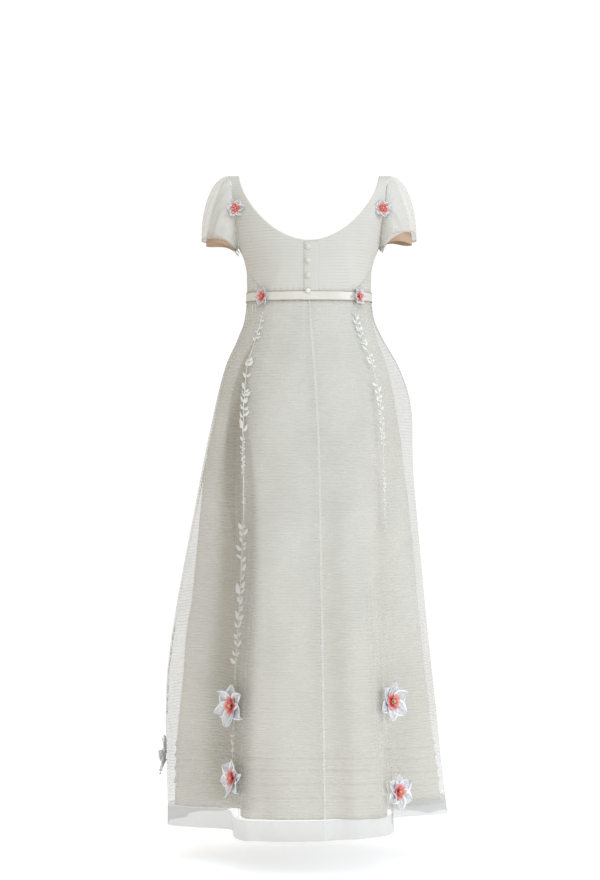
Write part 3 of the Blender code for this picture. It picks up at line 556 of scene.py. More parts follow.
# %% [markdown]
# ## From grids to cloth
#
# Cloth here is a grid of points: rows down the cloth and columns across it.  Each grid
# becomes one mesh, with a map in metres called "cloth", so that the finishes can follow
# the threads wherever the cloth turns.  Sheer cloth stays a single face, because each
# extra face would darken it; opaque cloth gets a real thickness from Solidify.

# %% Making a cloth from a grid
finished = {}


def add_mesh(name, vertices, faces, threads=None, finish=None):
    """A smooth mesh object from arrays, with its map of the threads in metres."""
    mesh = bpy.data.meshes.new(name)
    mesh.from_pydata(vertices, [], faces)
    mesh.update()
    mesh.shade_smooth()
    if threads is not None:
        layer = mesh.uv_layers.new(name="cloth")
        corners = np.zeros(len(mesh.loops), dtype=np.int32)
        mesh.loops.foreach_get("vertex_index", corners)
        layer.uv.foreach_set("vector", np.asarray(threads, dtype=np.float32)[corners].ravel())
    made = bpy.data.objects.new(name, mesh)
    scene.collection.objects.link(made)
    if finish is not None:
        mesh.materials.append(finish)
    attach(made, "root")
    return made


def grid_faces(points, ring=False, inside=(0.0, 0.0)):
    """Quads of a grid, wound to face away from the upright line through `inside`."""
    rows, columns = points.shape[:2]
    spot = np.arange(rows * columns).reshape(rows, columns)
    following = np.roll(spot, -1, axis=1)
    if not ring:
        spot, following = spot[:, :-1], following[:, :-1]
    faces = np.stack([spot[:-1], following[:-1], following[1:], spot[1:]], axis=-1).reshape(-1, 4)
    flat = points.reshape(-1, 3)
    turned = np.cross(flat[faces[:, 1]] - flat[faces[:, 0]], flat[faces[:, 3]] - flat[faces[:, 0]])
    away = flat[faces[:, 0]][:, :2] - np.array(inside)
    return faces if np.sum(turned[:, :2] * away) > 0 else faces[:, ::-1]


def cloth(name, points, threads, finish, thickness=0.0, ring=False, inside=(0.0, 0.0), back=None,
          open_at=None):
    """A cloth from a grid of points; an opaque one gets its thickness on the inner side, and
    may have another finish there.  Two halves part after the column open_at, and are welded
    where their edges meet."""
    faces = grid_faces(points, ring, inside)
    if open_at is not None:
        per_row = points.shape[1] - 1
        faces = faces[np.arange(len(faces)) % per_row != open_at]
    made = add_mesh(name, points.reshape(-1, 3).tolist(), faces.tolist(), threads.reshape(-1, 2), finish)
    if open_at is not None:
        weld = bmesh.new()
        weld.from_mesh(made.data)
        bmesh.ops.remove_doubles(weld, verts=weld.verts, dist=0.00001)
        weld.to_mesh(made.data)
        weld.free()
    if thickness:
        solid = made.modifiers.new("thickness", "SOLIDIFY")
        solid.thickness = thickness
        solid.offset = -1.0
        if back is not None:
            made.data.materials.append(back)
            solid.material_offset = 1
    return made


def run_across(points):
    """Metres along each row of a grid of points, from its first column."""
    steps = np.linalg.norm(np.diff(points, axis=1), axis=-1)
    return np.concatenate([np.zeros((points.shape[0], 1)), np.cumsum(steps, axis=1)], axis=1)


def length_of(path, closed=False):
    """The length of a path of points."""
    ends = path[:1] if closed else path[-1:]
    return float(np.linalg.norm(np.diff(path, axis=0, append=ends), axis=-1).sum())


def area_of(points):
    """The area of a grid of points."""
    right = np.diff(points, axis=1)[:-1]
    below = np.diff(points, axis=0)[:, :-1]
    return float(np.linalg.norm(np.cross(right, below), axis=-1).sum())


# %% [markdown]
# ## Writing shader maths
#
# A finish is a small graph of nodes.  Written out one by one the nodes hide the idea, so a
# wrapped socket lets the maths be written as maths: `thread * 0.4 + 0.6` adds the two Math
# nodes by itself.  Colours and vectors never go through Math, which would turn them grey;
# they have methods of their own.

# %% A socket that does arithmetic
class Thread:
    """A node's output socket, with arithmetic that adds Math nodes."""

    def __init__(self, bench, socket):
        self.bench, self.socket = bench, socket

    def math(self, operation, *others):
        values = {index: other for index, other in enumerate((self,) + others)}
        return self.bench.node("ShaderNodeMath", {"operation": operation}, values)

    def __add__(self, other):
        return self.math("ADD", other)

    def __radd__(self, other):
        return self + other

    def __mul__(self, other):
        return self.math("MULTIPLY", other)

    def __rmul__(self, other):
        return self * other

    def __sub__(self, other):
        return self.math("SUBTRACT", other)

    def __rsub__(self, other):
        return self.bench.node("ShaderNodeMath", {"operation": "SUBTRACT"}, {0: other, 1: self})

    def __pow__(self, other):
        return self.math("POWER", other)

    def sine(self):
        return self.math("SINE")

    def size(self):
        return self.math("ABSOLUTE")

    def between(self, start, end, low=0.0, high=1.0):
        """A smooth step from low at start to high at end."""
        settings = {"interpolation_type": "SMOOTHSTEP"}
        values = {0: self, 1: start, 2: end, 3: low, 4: high}
        return self.bench.node("ShaderNodeMapRange", settings, values)


class Board:
    """A tree of nodes, and the one way in which nodes are added to it."""

    def __init__(self, tree):
        self.tree = tree

    def node(self, kind, settings=None, values=None, output=0):
        """Adds a node: its settings first, then the values or links of its sockets."""
        made = self.tree.nodes.new(kind)
        for setting, value in (settings or {}).items():
            setattr(made, setting, value)
        for socket, value in (values or {}).items():
            if isinstance(value, Thread):
                self.tree.links.new(value.socket, made.inputs[socket])
            else:
                made.inputs[socket].default_value = value
        return Thread(self, made.outputs[output])


# %% A bench for making one finish
class Bench(Board):
    """One finish being made: its nodes, and the Principled shader that they feed."""

    def __init__(self, name, **constants):
        self.finish = bpy.data.materials.new(name)
        self.finish.use_nodes = True
        super().__init__(self.finish.node_tree)
        self.shader = self.tree.nodes["Principled BSDF"]
        for socket, value in constants.items():
            self.shader.inputs[socket.replace("_", " ")].default_value = value
        finished[name] = self.finish

    def blend(self, share, first, second):
        """A colour between two colours or links."""
        picks = [value if isinstance(value, Thread) else (*value, 1.0) for value in (first, second)]
        mixed = {0: share, 6: picks[0], 7: picks[1]}
        return self.node("ShaderNodeMix", {"data_type": "RGBA"}, mixed, output=2)

    def noise(self, where, scale, detail=2.0, roughness=0.5, distortion=0.0):
        """Noise about 0.5 at a place."""
        return self.node("ShaderNodeTexNoise", {}, {"Vector": where, "Scale": scale, "Detail": detail,
                                                    "Roughness": roughness, "Distortion": distortion})

    def stretched(self, where, across, down):
        """A place with its threads stretched, for streaks and slubs."""
        return self.node("ShaderNodeMapping", {}, {"Vector": where, "Scale": (across, down, 1.0)})

    def threads(self):
        """The cloth's own map, in metres across and down."""
        return self.node("ShaderNodeUVMap", {"uv_map": "cloth"})

    def parts(self, where):
        """The two coordinates of a place."""
        across = self.node("ShaderNodeSeparateXYZ", {}, {"Vector": where})
        return across, Thread(self, across.socket.node.outputs[1])

    def place(self):
        """A place in the object's own space, in metres."""
        return self.node("ShaderNodeTexCoord", {}, {}, output=3)

    def feed(self, **links):
        """Links the shader's sockets."""
        for socket, value in links.items():
            self.tree.links.new(value.socket, self.shader.inputs[socket.replace("_", " ")])

    def relief(self, height, distance):
        """Feeds the normal from a height in which 1 stands for `distance` metres."""
        bump = self.node("ShaderNodeBump", {}, {"Height": height, "Distance": distance, "Strength": 1.0})
        self.feed(Normal=bump)


# %% [markdown]
# ## Organza
#
# Organza is a plain weave of fine stiff thread with open gaps.  Light passes the gaps, so
# the cloth is mostly a veil: its cover goes in Alpha.  The cover rises where the slack
# threads bunch, in the same level ripples as the relief, and in rare thicker slubs.

# %% The weave and its ripples
def weave_height(bench, where, pitch):
    """A plain weave's height from 0 to 1, with its threads `pitch` metres apart."""
    across, down = bench.parts(where)
    turn = math.pi / pitch
    return ((across * turn).sine() * (down * turn).sine()).size()


def ripple_lines(bench, where):
    """The dashed lines of the ripples, from 0 to 1, and the slubs about 0."""
    across, up = bench.parts(where)
    line = ripple_wave(across, up * -1.0, Thread.sine).between(0.10, 1.0)
    fade = bench.noise(bench.stretched(where, 15.0, 6.0), 1.0, 2.0).between(0.38, 0.62, 0.30, 1.0)
    dashes = bench.noise(bench.stretched(where, 46.0, 150.0), 1.0, 1.0).between(0.30, 0.60, 0.45, 1.0)
    fine = bench.noise(bench.stretched(where, 60.0, 900.0), 1.0, 1.0) - 0.5
    drawn = bench.noise(bench.stretched(where, 520.0, 26.0), 1.0, 2.0) - 0.5
    return line * fade * dashes, fine * 0.22 + drawn * 0.28


# %% Organza finishes
def organza(name, colour, shade, cover, swing, opaque=False, marks=0.40, flat_below=9.0):
    """Crinkled organza; sheer, or lined and so opaque.  `marks` is how plain its ripples' dark
    lines are, partly bunched thread and partly painted shade in the grooves, and below
    `flat_below` metres of cloth it is pressed flat."""
    bench = Bench(name, Sheen_Weight=0.12, Sheen_Roughness=0.4, Specular_IOR_Level=0.3)
    where = bench.threads()
    lines, slubs = ripple_lines(bench, where)
    _, up = bench.parts(where)
    lines = lines * (up * -1.0).between(flat_below, flat_below + 0.012, 1.0, 0.10)
    cloudy = bench.noise(bench.place(), 9.0, 3.0)
    tone = bench.blend((slubs * 0.20 + cloudy * 0.5 + 0.25).between(0.2, 0.8), shade, colour)
    # The ripple lines are darker: partly the bunched thread, partly painted shade in the relief's grooves.
    bunched_line_and_groove_shade = tuple(value * 0.62 for value in shade)
    bench.feed(Base_Color=bench.blend(lines * marks, tone, bunched_line_and_groove_shade))
    bench.feed(Roughness=cloudy * 0.15 + 0.55)
    if not opaque:
        bench.feed(Alpha=(lines * swing + slubs * 0.06 + cloudy * 0.06 + (cover - 0.03)).between(0.0, 1.0))
    bench.relief(weave_height(bench, where, 0.0009) * 0.4 + slubs * 0.5 - lines * 0.5, 0.00014)
    return bench.finish


ORGANZA_LIGHT = (0.66, 0.665, 0.635)
ORGANZA_SHADE = (0.56, 0.56, 0.53)
SHEER = organza("organza", ORGANZA_LIGHT, ORGANZA_SHADE, 0.37, 0.14, flat_below=1.312)
SHEER_SEAM = organza("organza_seam", (0.74, 0.735, 0.70), ORGANZA_LIGHT, 0.22, 0.05, marks=0.1)
SHEER_CENTRE = organza("organza_centre", (0.81, 0.81, 0.78), (0.78, 0.78, 0.745), 0.50, 0.0, marks=0.0)
SHEER_DOUBLE = organza("organza_doubled", (0.60, 0.605, 0.605), (0.56, 0.565, 0.565), 0.50, 0.0,
                       marks=0.08)
SHEER_SLEEVE = organza("organza_sleeve", (0.86, 0.86, 0.83), (0.80, 0.795, 0.765), 0.48, 0.12)


def painted_shade_organza(name, colour, shade, cover):
    """Dark organza that paints the shade of a hollow: its map runs from 0 to 1 across, and it thins to either
    edge.
    """
    bench = Bench(name, Sheen_Weight=0.1, Specular_IOR_Level=0.3)
    where = bench.threads()
    across, _ = bench.parts(where)
    cloudy = bench.noise(bench.place(), 9.0, 3.0)
    streaks = bench.noise(bench.stretched(where, 9.0, 1.5), 1.0, 2.0)
    bench.feed(Base_Color=bench.blend(cloudy.between(0.3, 0.7), shade, colour))
    bench.feed(Roughness=cloudy * 0.15 + 0.55)
    thick = across.between(0.0, 0.10) * across.between(0.62, 1.0, 1.0, 0.0) * (streaks * 0.5 + 0.75)
    bench.feed(Alpha=thick * cover)
    bench.relief(streaks, 0.0002)
    return bench.finish


# Both finishes are painted shade: dark brownish organza for the shaded hollow beside the left trim.
SHEER_PAINTED_SHADE = painted_shade_organza("organza_folded", (0.45, 0.39, 0.28), (0.39, 0.33, 0.225), 0.41)
SHEER_PAINTED_SHADE_FAINT = painted_shade_organza("organza_allowance", (0.45, 0.405, 0.32), (0.39, 0.345, 0.265), 0.26)
LINED = organza("organza_lined", (0.66, 0.66, 0.625), (0.60, 0.595, 0.555), 1.0, 0.0, opaque=True,
                marks=0.30)
print("finishes:", ", ".join(finished))

# %% [markdown]
# ## Lining, satin and thread
#
# The lining is a matt ivory cloth with a close plain weave.  The ribbon is satin: long
# floats of thread lie along it, so it has a soft gloss and fine lengthwise streaks.  The
# piping is a cord covered in bias-cut cloth, and the leaves are raised stitching.

# %% Lining, satin, piping and stitching finishes
def plain_cloth(name, colour, shade, roughness=0.75, pitch=0.0007, height=0.00008, aged=None):
    """A matt plain weave with a faint unevenness of tone, and yellower towards the bottom if a colour for
    there is given.
    """
    bench = Bench(name, Sheen_Weight=0.08, Specular_IOR_Level=0.25)
    where = bench.threads()
    cloudy = bench.noise(bench.place(), 14.0, 4.0)
    slubs = bench.noise(bench.stretched(where, 40.0, 700.0), 1.0, 1.0)
    tone = cloudy * 0.6 + slubs * 0.4
    body = bench.blend(tone.between(0.3, 0.7), shade, colour)
    if aged is not None:
        _, up = bench.parts(where)
        body = bench.blend((up * -1.0).between(0.70, 1.35), body, aged)
    bench.feed(Base_Color=body)
    bench.feed(Roughness=tone * 0.2 + (roughness - 0.1))
    bench.relief(weave_height(bench, where, pitch) + slubs * 0.6, height)
    return bench.finish


def satin(name, colour, shade):
    """Satin ribbon, its floats along the ribbon's length."""
    bench = Bench(name, Sheen_Weight=0.2, Sheen_Roughness=0.3, Specular_IOR_Level=0.55)
    where = bench.threads()
    floats = bench.noise(bench.stretched(where, 60.0, 3800.0), 1.0, 2.0)
    cloudy = bench.noise(bench.stretched(where, 22.0, 60.0), 1.0, 2.0)
    bench.feed(Base_Color=bench.blend((floats * 0.4 + cloudy * 0.6).between(0.3, 0.7), shade, colour))
    bench.feed(Roughness=floats * 0.2 + 0.22)
    bench.relief(floats, 0.00006)
    return bench.finish


def twisted(name, colour, shade, scale, height, thinning=0.0):
    """Cloth-covered cord or satin stitch: fine slanting threads, sparser lower down if `thinning`."""
    bench = Bench(name, Sheen_Weight=0.15, Specular_IOR_Level=0.35)
    spot = bench.place()
    fibres = bench.noise(spot, scale, 3.0, 0.6, 0.6)
    cloudy = bench.noise(spot, 60.0, 2.0)
    bench.feed(Base_Color=bench.blend((fibres * 0.5 + cloudy * 0.5).between(0.3, 0.7), shade, colour))
    bench.feed(Roughness=fibres * 0.3 + 0.4)
    if thinning:
        level_up = bench.node("ShaderNodeSeparateXYZ", {}, {"Vector": spot}, output=2)
        bench.feed(Alpha=(level_up * -1.0).between(0.68, 0.76, 1.0, 1.0 - thinning))
    bench.relief(fibres, height)
    return bench.finish


# The lining blends to a yellower colour lower down the skirt.
LINING_CLOTH = plain_cloth("lining_cloth", (0.77, 0.765, 0.72), (0.71, 0.70, 0.65),
                           aged=(0.725, 0.70, 0.625))
SATIN = satin("satin_ribbon", (0.74, 0.735, 0.69), (0.66, 0.65, 0.60))
PIPING = twisted("piping", (0.72, 0.70, 0.63), (0.62, 0.59, 0.51), 900.0, 0.00012)
GOLD_THREAD = twisted("gold_thread", (0.50, 0.44, 0.33), (0.40, 0.34, 0.24), 1500.0, 0.00010)
LEAF_STITCH = twisted("leaf_stitch", (0.85, 0.855, 0.83), (0.74, 0.745, 0.71), 1300.0, 0.00018, thinning=0.40)


def banded_cloth(name, colour, band, band_top):
    """The sleeve's lining: ivory above, with a tan band below band_top metres of cloth."""
    bench = Bench(name, Sheen_Weight=0.08, Specular_IOR_Level=0.25)
    where = bench.threads()
    _, down = bench.parts(where)
    in_band = (down * -1.0).between(band_top - 0.001, band_top + 0.001)
    slubs = bench.noise(bench.stretched(where, 40.0, 700.0), 1.0, 1.0)
    bench.feed(Base_Color=bench.blend(in_band, colour, band))
    bench.feed(Roughness=slubs * 0.2 + 0.65)
    bench.relief(weave_height(bench, where, 0.0007) + slubs * 0.6, 0.00008)
    return bench.finish


TUBE_LENGTH = 0.145       # of the sleeve's lining, from armhole to cuff
BAND_CLOTH = banded_cloth("sleeve_lining", (0.72, 0.71, 0.665), (0.54, 0.39, 0.28), TUBE_LENGTH * 0.78)

# %% [markdown]
# ## The overskirt
#
# Five gores of organza, seamed at centre back, at the two leaf trims and at the sides.
# One simulated cloth would lose the fall of the troughs, which is what gives this skirt
# its look, so each gore is shaped on the shared surface and gets its ripples on
# top, with some soft creases that start at the waist's gathers.

# %% The overskirt's creases
CREASES = table(
    "angle   lean    width   depth    start   end",
    (6.0, 1.0, 2.2, 0.0016, 0.270, 0.620),
    (14.0, -2.0, 3.0, 0.0022, 0.300, 0.900),
    (30.0, 3.5, 2.6, 0.0026, 0.262, 0.760),
    (-19.0, -2.0, 2.6, 0.0018, 0.262, 0.640),
    (-36.0, 1.5, 2.4, 0.0028, 0.280, 0.860),
    (64.0, 3.5, 1.8, 0.0046, 0.420, 1.250),
    (74.0, 2.0, 4.0, 0.0044, 0.270, 1.340),
    (88.0, -3.0, 3.4, 0.0038, 0.400, 1.340),
    (-56.0, -3.0, 3.0, 0.0034, 0.262, 1.150),
    (-78.0, -3.0, 4.0, 0.0044, 0.262, 1.340),
    (-92.0, 3.0, 3.6, 0.0040, 0.480, 1.340),
    (122.0, 4.0, 3.6, 0.0042, 0.262, 1.100),
    (147.0, -2.0, 3.2, 0.0040, 0.262, 1.250),
    (168.0, 3.0, 3.0, 0.0034, 0.262, 0.980),
    (-125.0, -4.0, 3.8, 0.0042, 0.262, 1.200),
    (-150.0, 2.0, 3.2, 0.0038, 0.262, 1.100),
    (-172.0, -3.0, 3.0, 0.0036, 0.262, 1.320),
)


def crease_height(angle, down):
    """Soft ridges laid over the troughs, as a height off the cloth."""
    height = np.zeros(np.broadcast(angle, down).shape)
    for crease in rows_of(CREASES):
        along = (down - crease["start"]) / (crease["end"] - crease["start"])
        middle = crease["angle"] + crease["lean"] * along
        width = crease["width"] * (1.0 + 0.8 * np.clip(along, 0, 1))
        swell = ease(along, 0.0, 0.25) * (1 - ease(along, 0.70, 1.0))
        height += crease["depth"] * swell * np.exp(-(around_from(angle, middle) / width) ** 2)
    return height


def fine_gathers(angle, down):
    """The tight little gathers where a skirt is drawn into its waist seam."""
    depth = 0.0009 * (1 - ease(down, 0.262, 0.330)) * ease(down, WAIST, 0.268)
    close = depth * np.sin(np.radians(angle) * 70 + 2.2 * soft_noise(angle / 9.0, down / 0.05, 61))
    beside = np.abs(around_from(angle, 0.0))
    panel = ease(beside, 34.0, 44.0) * (1 - ease(beside, 100.0, 112.0))
    drawn = panel * 0.0013 * (1 - ease(down, 0.34, 0.74)) * ease(down, WAIST, 0.280)
    return close + drawn * np.sin(np.radians(angle) * 52 + 1.8 * soft_noise(angle / 7.0, down / 0.20, 62))


# %% A gore's grid
def skirt_grid(surface, first, last, top, bottom, row_step, column_step):
    """Angles and levels of a gore, with its rows and columns about a set distance apart."""
    rows = int(round((bottom - top) / row_step)) + 1
    downs = np.linspace(top, bottom, rows)[:, None]
    start, end = seam_angle(first, downs), seam_angle(last, downs)
    end = np.where(end <= start, end + 360.0, end)
    probe = start[-1] + (end[-1] - start[-1]) * np.linspace(0, 1, 200)
    edge = surface(probe, np.full(200, bottom))
    length = np.linalg.norm(np.diff(edge, axis=0), axis=-1)
    run = np.concatenate([[0.0], np.cumsum(length)])
    columns = int(round(run[-1] / column_step)) + 1
    shares = np.interp(np.linspace(0, run[-1], columns), run, np.linspace(0, 1, 200))[None, :]
    even = np.linspace(0, 1, columns)[None, :]
    weight = ease(downs, 0.30, 0.75)
    shares = even * (1 - weight) + shares * weight
    return start + (end - start) * shares, downs + 0 * shares


def unrolled(angle, down):
    """Metres along the weft from centre back, the same on both sides of a seam."""
    return np.radians(angle) * 0.235 * (0.45 + 0.55 * ease(down, 0.20, 1.30))


# %% The overskirt's sheer face
HEM_DEPTH = 0.041
TUCKS_MIDDLE = -4.0       # degrees; the ripples are higher over the tucks, either side of it


def overlay_cloth(angle, down):
    """The overskirt's sheer face with its creases and ripples."""
    points = overlay(angle, down)
    outward = normals(overlay, angle, down)
    height = crease_height(angle, down) + fine_gathers(angle, down)
    hem_top = hang(angle, OVERLAY_HEM - HEM_DEPTH)
    smooth = ease(down, hem_top, hem_top + 0.006)
    ripples = crinkle(unrolled(angle, down), down) * ease(down, WAIST, 0.275) * (1 - 0.85 * smooth)
    over_tucks = 1 - ease(np.abs(around_from(angle, TUCKS_MIDDLE)), 30.0, 44.0)
    ripples = ripples * (1 + 0.8 * over_tucks * ease(down, 1.150, 1.210))
    return points + outward * (height + ripples)[..., None]


# %% The overskirt's five gores
GORES = (
    ("overlay_back_left", "centre", "back_left"),
    ("overlay_side_left", "back_left", "front_left"),
    ("overlay_front", "front_left", "front_right"),
    ("overlay_side_right", "front_right", "back_right"),
    ("overlay_back_right", "back_right", "centre"),
)
WEFT_STEP = 0.0075        # columns of a skirt's grid
RIPPLE_ROWS = RIPPLE / 3  # rows fine enough to hold the ripples

for node, first, last in GORES:
    angle, down = skirt_grid(overlay, first, last, WAIST, OVERLAY_HEM, RIPPLE_ROWS, WEFT_STEP)
    down = hang(angle, down)
    points = overlay_cloth(angle, down)
    threads = np.stack([unrolled(angle, down), -down], axis=-1)
    piece = cloth(node + "_gore", points, threads, SHEER)
    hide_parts(node)
    top = run_across(points[:1])[0, -1]
    bottom = run_across(points[-1:])[0, -1]
    plain = area_of(overlay(angle, down))
    print(node, points.shape[:2], "top %.3f bottom %.3f area %.3f" % (top, bottom, plain))

# %% [markdown]
# ## Seams and hems of the overskirt
#
# A sheer seam shows as a paler line, because its allowances lie doubled behind it.  Each
# seam is a narrow strip that follows the two gores, and the hem is a narrow rolled band.
# Strips are used instead of paint so that the doubled cloth has its own edge.

# %% Strips along a surface
def strip_along(name, cover, lines, offset, finish, width_steps=3):
    """A narrow strip between two lines of a surface; lines hold angles and levels."""
    (first_angle, first_down), (second_angle, second_down) = lines
    shares = np.linspace(0, 1, width_steps)[None, :]
    angle = first_angle[:, None] * (1 - shares) + second_angle[:, None] * shares
    down = first_down[:, None] * (1 - shares) + second_down[:, None] * shares
    points = cover(angle, down)
    surface = overlay if cover in (overlay, overlay_cloth) else lining
    points = points + normals(surface, angle, down) * offset
    length = np.concatenate([[0.0], np.cumsum(np.linalg.norm(np.diff(points[:, 0], axis=0), axis=-1))])
    threads = np.stack([run_across(points), -length[:, None] + 0 * shares], axis=-1)
    return cloth(name, points, threads, finish), points


def declare_strip(piece, points, rests_on):
    """Works out a strip's flat size and area, and keeps neither."""
    width = float(run_across(points).max())
    length = float(np.linalg.norm(np.diff(points[:, [0, -1]], axis=0), axis=-1).sum(axis=0).max())
    flat = (round(max(width, 0.010), 4), round(max(length, 0.010), 4))
    round(max(area_of(points), 0.31 * flat[0] * flat[1]), 5)


# %% The overskirt's seams
SEAM_HALF = 0.0016        # half the width of the allowances, pressed together
gore_rows = int(round((OVERLAY_HEM - WAIST) / RIPPLE_ROWS)) + 1
seam_rows = np.linspace(WAIST, OVERLAY_HEM, gore_rows)[1:]
seam_rows = seam_rows[seam_rows > RIBBON_BOTTOM + 0.001]


def either_side(middle, downs):
    """Lines SEAM_HALF to either side of one that runs down the overskirt."""
    radius = np.linalg.norm(overlay(middle, downs)[:, :2], axis=-1)
    half = np.degrees(SEAM_HALF / radius)
    return (middle - half, downs), (middle + half, downs)


SEWN_TO = {"centre": "back_left", "back_left": "back_left", "back_right": "back_right",
           "front_left": "side_left", "front_right": "side_right"}
for seam, gore in SEWN_TO.items():
    middle = seam_angle(seam, seam_rows)
    lines = either_side(middle, hang(middle, seam_rows))
    finish = SHEER_CENTRE if seam == "centre" else SHEER_SEAM
    piece, points = strip_along("seam_" + seam, overlay_cloth, lines, 0.0005, finish)
    declare_strip(piece, points, ["overlay_%s_gore" % gore])

print("seams:", ", ".join(SEWN_TO))

# %% [markdown]
# ## Edges, and painted shade beside the left trim
#
# Low on the back, two faint upright lines lie on either side, where the cloth was joined.
# Beside the left trim, sheets of dark brownish organza a little inside the overskirt paint
# the shade of the deep hollow there, so the lining shows less through them.  Each thins out
# to its edges, so the painted shade ends softly.

# %% The faint upright edges
PANEL_EDGES = ((30.0, "back_left"), (27.0, "back_left"), (-30.5, "back_right"), (-35.5, "back_right"))
EDGES_START = 0.860
for number, (edge, gore) in enumerate(PANEL_EDGES):
    downs = seam_rows[(seam_rows > EDGES_START) & (seam_rows < OVERLAY_HEM - HEM_DEPTH)]
    middle = np.full(len(downs), edge)
    lines = either_side(middle, hang(middle, downs))
    piece, points = strip_along("panel_edge_%d" % (number + 1), overlay_cloth, lines, 0.0004, SHEER)
    declare_strip(piece, points, ["overlay_%s_gore" % gore])

# %% The sheets of painted shade beside the left trim
SHADE_SHEET_ROWS, SHADE_SHEET_COLUMNS = 240, 24
SHADE_SHEETS = {             # how far inside, the finish, and the edges in degrees from the seam
    "pleat_back_left": (-0.0034, SHEER_PAINTED_SHADE, table(
        "down    start  end",
        (0.390, 0.4, 2.0),
        (0.460, 0.4, 12.0),
        (0.550, 0.4, 27.0),
        (0.660, 0.4, 32.0),
        (0.800, 0.4, 31.5),
        (0.920, 0.4, 32.0),
        (1.080, 0.4, 34.0),
        (1.180, 0.4, 36.0),
        (1.300, 0.4, 38.0),
    )),
    "tuck_back_left": (-0.0022, SHEER_PAINTED_SHADE, table(
        "down    start  end",
        (0.345, 0.4, 2.0),
        (0.400, 3.5, 12.0),
        (0.460, 6.5, 20.0),
        (0.550, 9.0, 25.0),
        (0.660, 9.5, 25.0),
        (0.720, 7.0, 16.0),
        (0.800, 3.0, 4.5),
    )),
    "allowance_back_left": (-0.0022, SHEER_PAINTED_SHADE_FAINT, table(
        "down    start  end",
        (0.500, -0.4, -1.0),
        (0.580, -0.4, -8.0),
        (0.800, -0.4, -15.0),
        (1.100, -0.4, -20.0),
        (1.300, -0.4, -20.0),
    )),
}
# Each sheet is painted shade; its map is reset to run from 0 to 1 across.
for name, (offset, finish, edges) in SHADE_SHEETS.items():
    downs = np.linspace(edges["down"][0], edges["down"][-1], SHADE_SHEET_ROWS)
    middle = seam_angle("back_left", downs)
    start, end = (middle + read(edges, side, "down", downs) for side in ("start", "end"))
    end = end + 0.30 * soft_noise(downs / 0.06, 0.5, 63)
    lines = ((start, downs), (end, downs))
    piece, points = strip_along(name, overlay, lines, offset, finish, SHADE_SHEET_COLUMNS)
    layer = piece.data.uv_layers["cloth"].uv
    corners = np.zeros(len(piece.data.loops), dtype=np.int32)
    piece.data.loops.foreach_get("vertex_index", corners)
    row, column = corners // SHADE_SHEET_COLUMNS, corners % SHADE_SHEET_COLUMNS
    shares = np.stack([column / (SHADE_SHEET_COLUMNS - 1), downs[row] * -1.0], axis=-1)
    layer.foreach_set("vector", shares.astype(np.float32).ravel())
    gore = "back_left" if edges["end"][-1] < 0 else "side_left"
    declare_strip(piece, points, ["overlay_%s_gore" % gore])
print("painted shade sheets:", ", ".join(SHADE_SHEETS))

# %% The overskirt's hems
for node, first, last in GORES:
    angle, down = skirt_grid(overlay, first, last, OVERLAY_HEM - HEM_DEPTH, OVERLAY_HEM, 0.002, 0.006)
    down = hang(angle, down)
    lines = ((angle[0], down[0]), (angle[-1], down[-1]))
    piece, points = strip_along(node + "_hem", overlay_cloth, lines, -0.0006, SHEER_DOUBLE, 9)
    declare_strip(piece, points, [node + "_gore"])

# %% [markdown]
# ## The lining skirt
#
# Under the veil hangs the opaque lining.  Four tucks run round it above the hem: a fold of
# cloth stitched down along its upper edge, so each one ends in a small free lip.  They are
# drawn up a little by the thread, which crinkles them.

# %% The tucks
TUCKS = (1.195, 1.218, 1.246, 1.273)
TUCK_WIDTH = 0.015
TUCK_RISE = 0.0030        # how far a tuck's lip stands off the lining
TUCK_LIP = 0.0012         # how short the step back under the lip is


def tuck_height(angle, down):
    """Height of the tucks over the plain lining, with their crinkles."""
    height = np.zeros(np.broadcast(angle, down).shape)
    across = unrolled(angle, down)
    for row, edge in enumerate(TUCKS):
        wander = 0.0011 * soft_noise(across / 0.035, row * 3.7, 71)
        rise = ease(down, edge + wander - TUCK_WIDTH, edge + wander - 0.002)
        fall = 1 - ease(down, edge + wander, edge + wander + TUCK_LIP)
        pucker = 1 + 0.35 * soft_noise(across / 0.0060, row * 5.3, 72) * ease(down, edge - TUCK_WIDTH, edge)
        height = height + TUCK_RISE * rise * fall * pucker
    return height


def lining_cloth(angle, down):
    """The lining's face with its tucks and a faint unevenness."""
    points = lining(angle, down)
    outward = normals(lining, angle, down)
    across = unrolled(angle, down)
    uneven = 0.0005 * soft_noise(across / 0.030, down / 0.060, 74) * ease(down, 0.30, 0.40)
    return points + outward * (tuck_height(angle, down) + uneven)[..., None]


def lining_levels():
    """Levels of the lining's rows: wide apart above, close together over the tucks."""
    plain = np.arange(WAIST, TUCKS[0] - TUCK_WIDTH - 0.002, 0.0085)
    close = []
    for edge in TUCKS:
        close += list(np.linspace(edge - TUCK_WIDTH, edge - 0.0015, 6))
        close += list(np.linspace(edge - 0.0005, edge + TUCK_LIP + 0.0006, 5))
    below = np.linspace(TUCKS[-1] + TUCK_LIP + 0.003, LINING_HEM, 7)
    return np.unique(np.round(np.concatenate([plain, close, below]), 5))


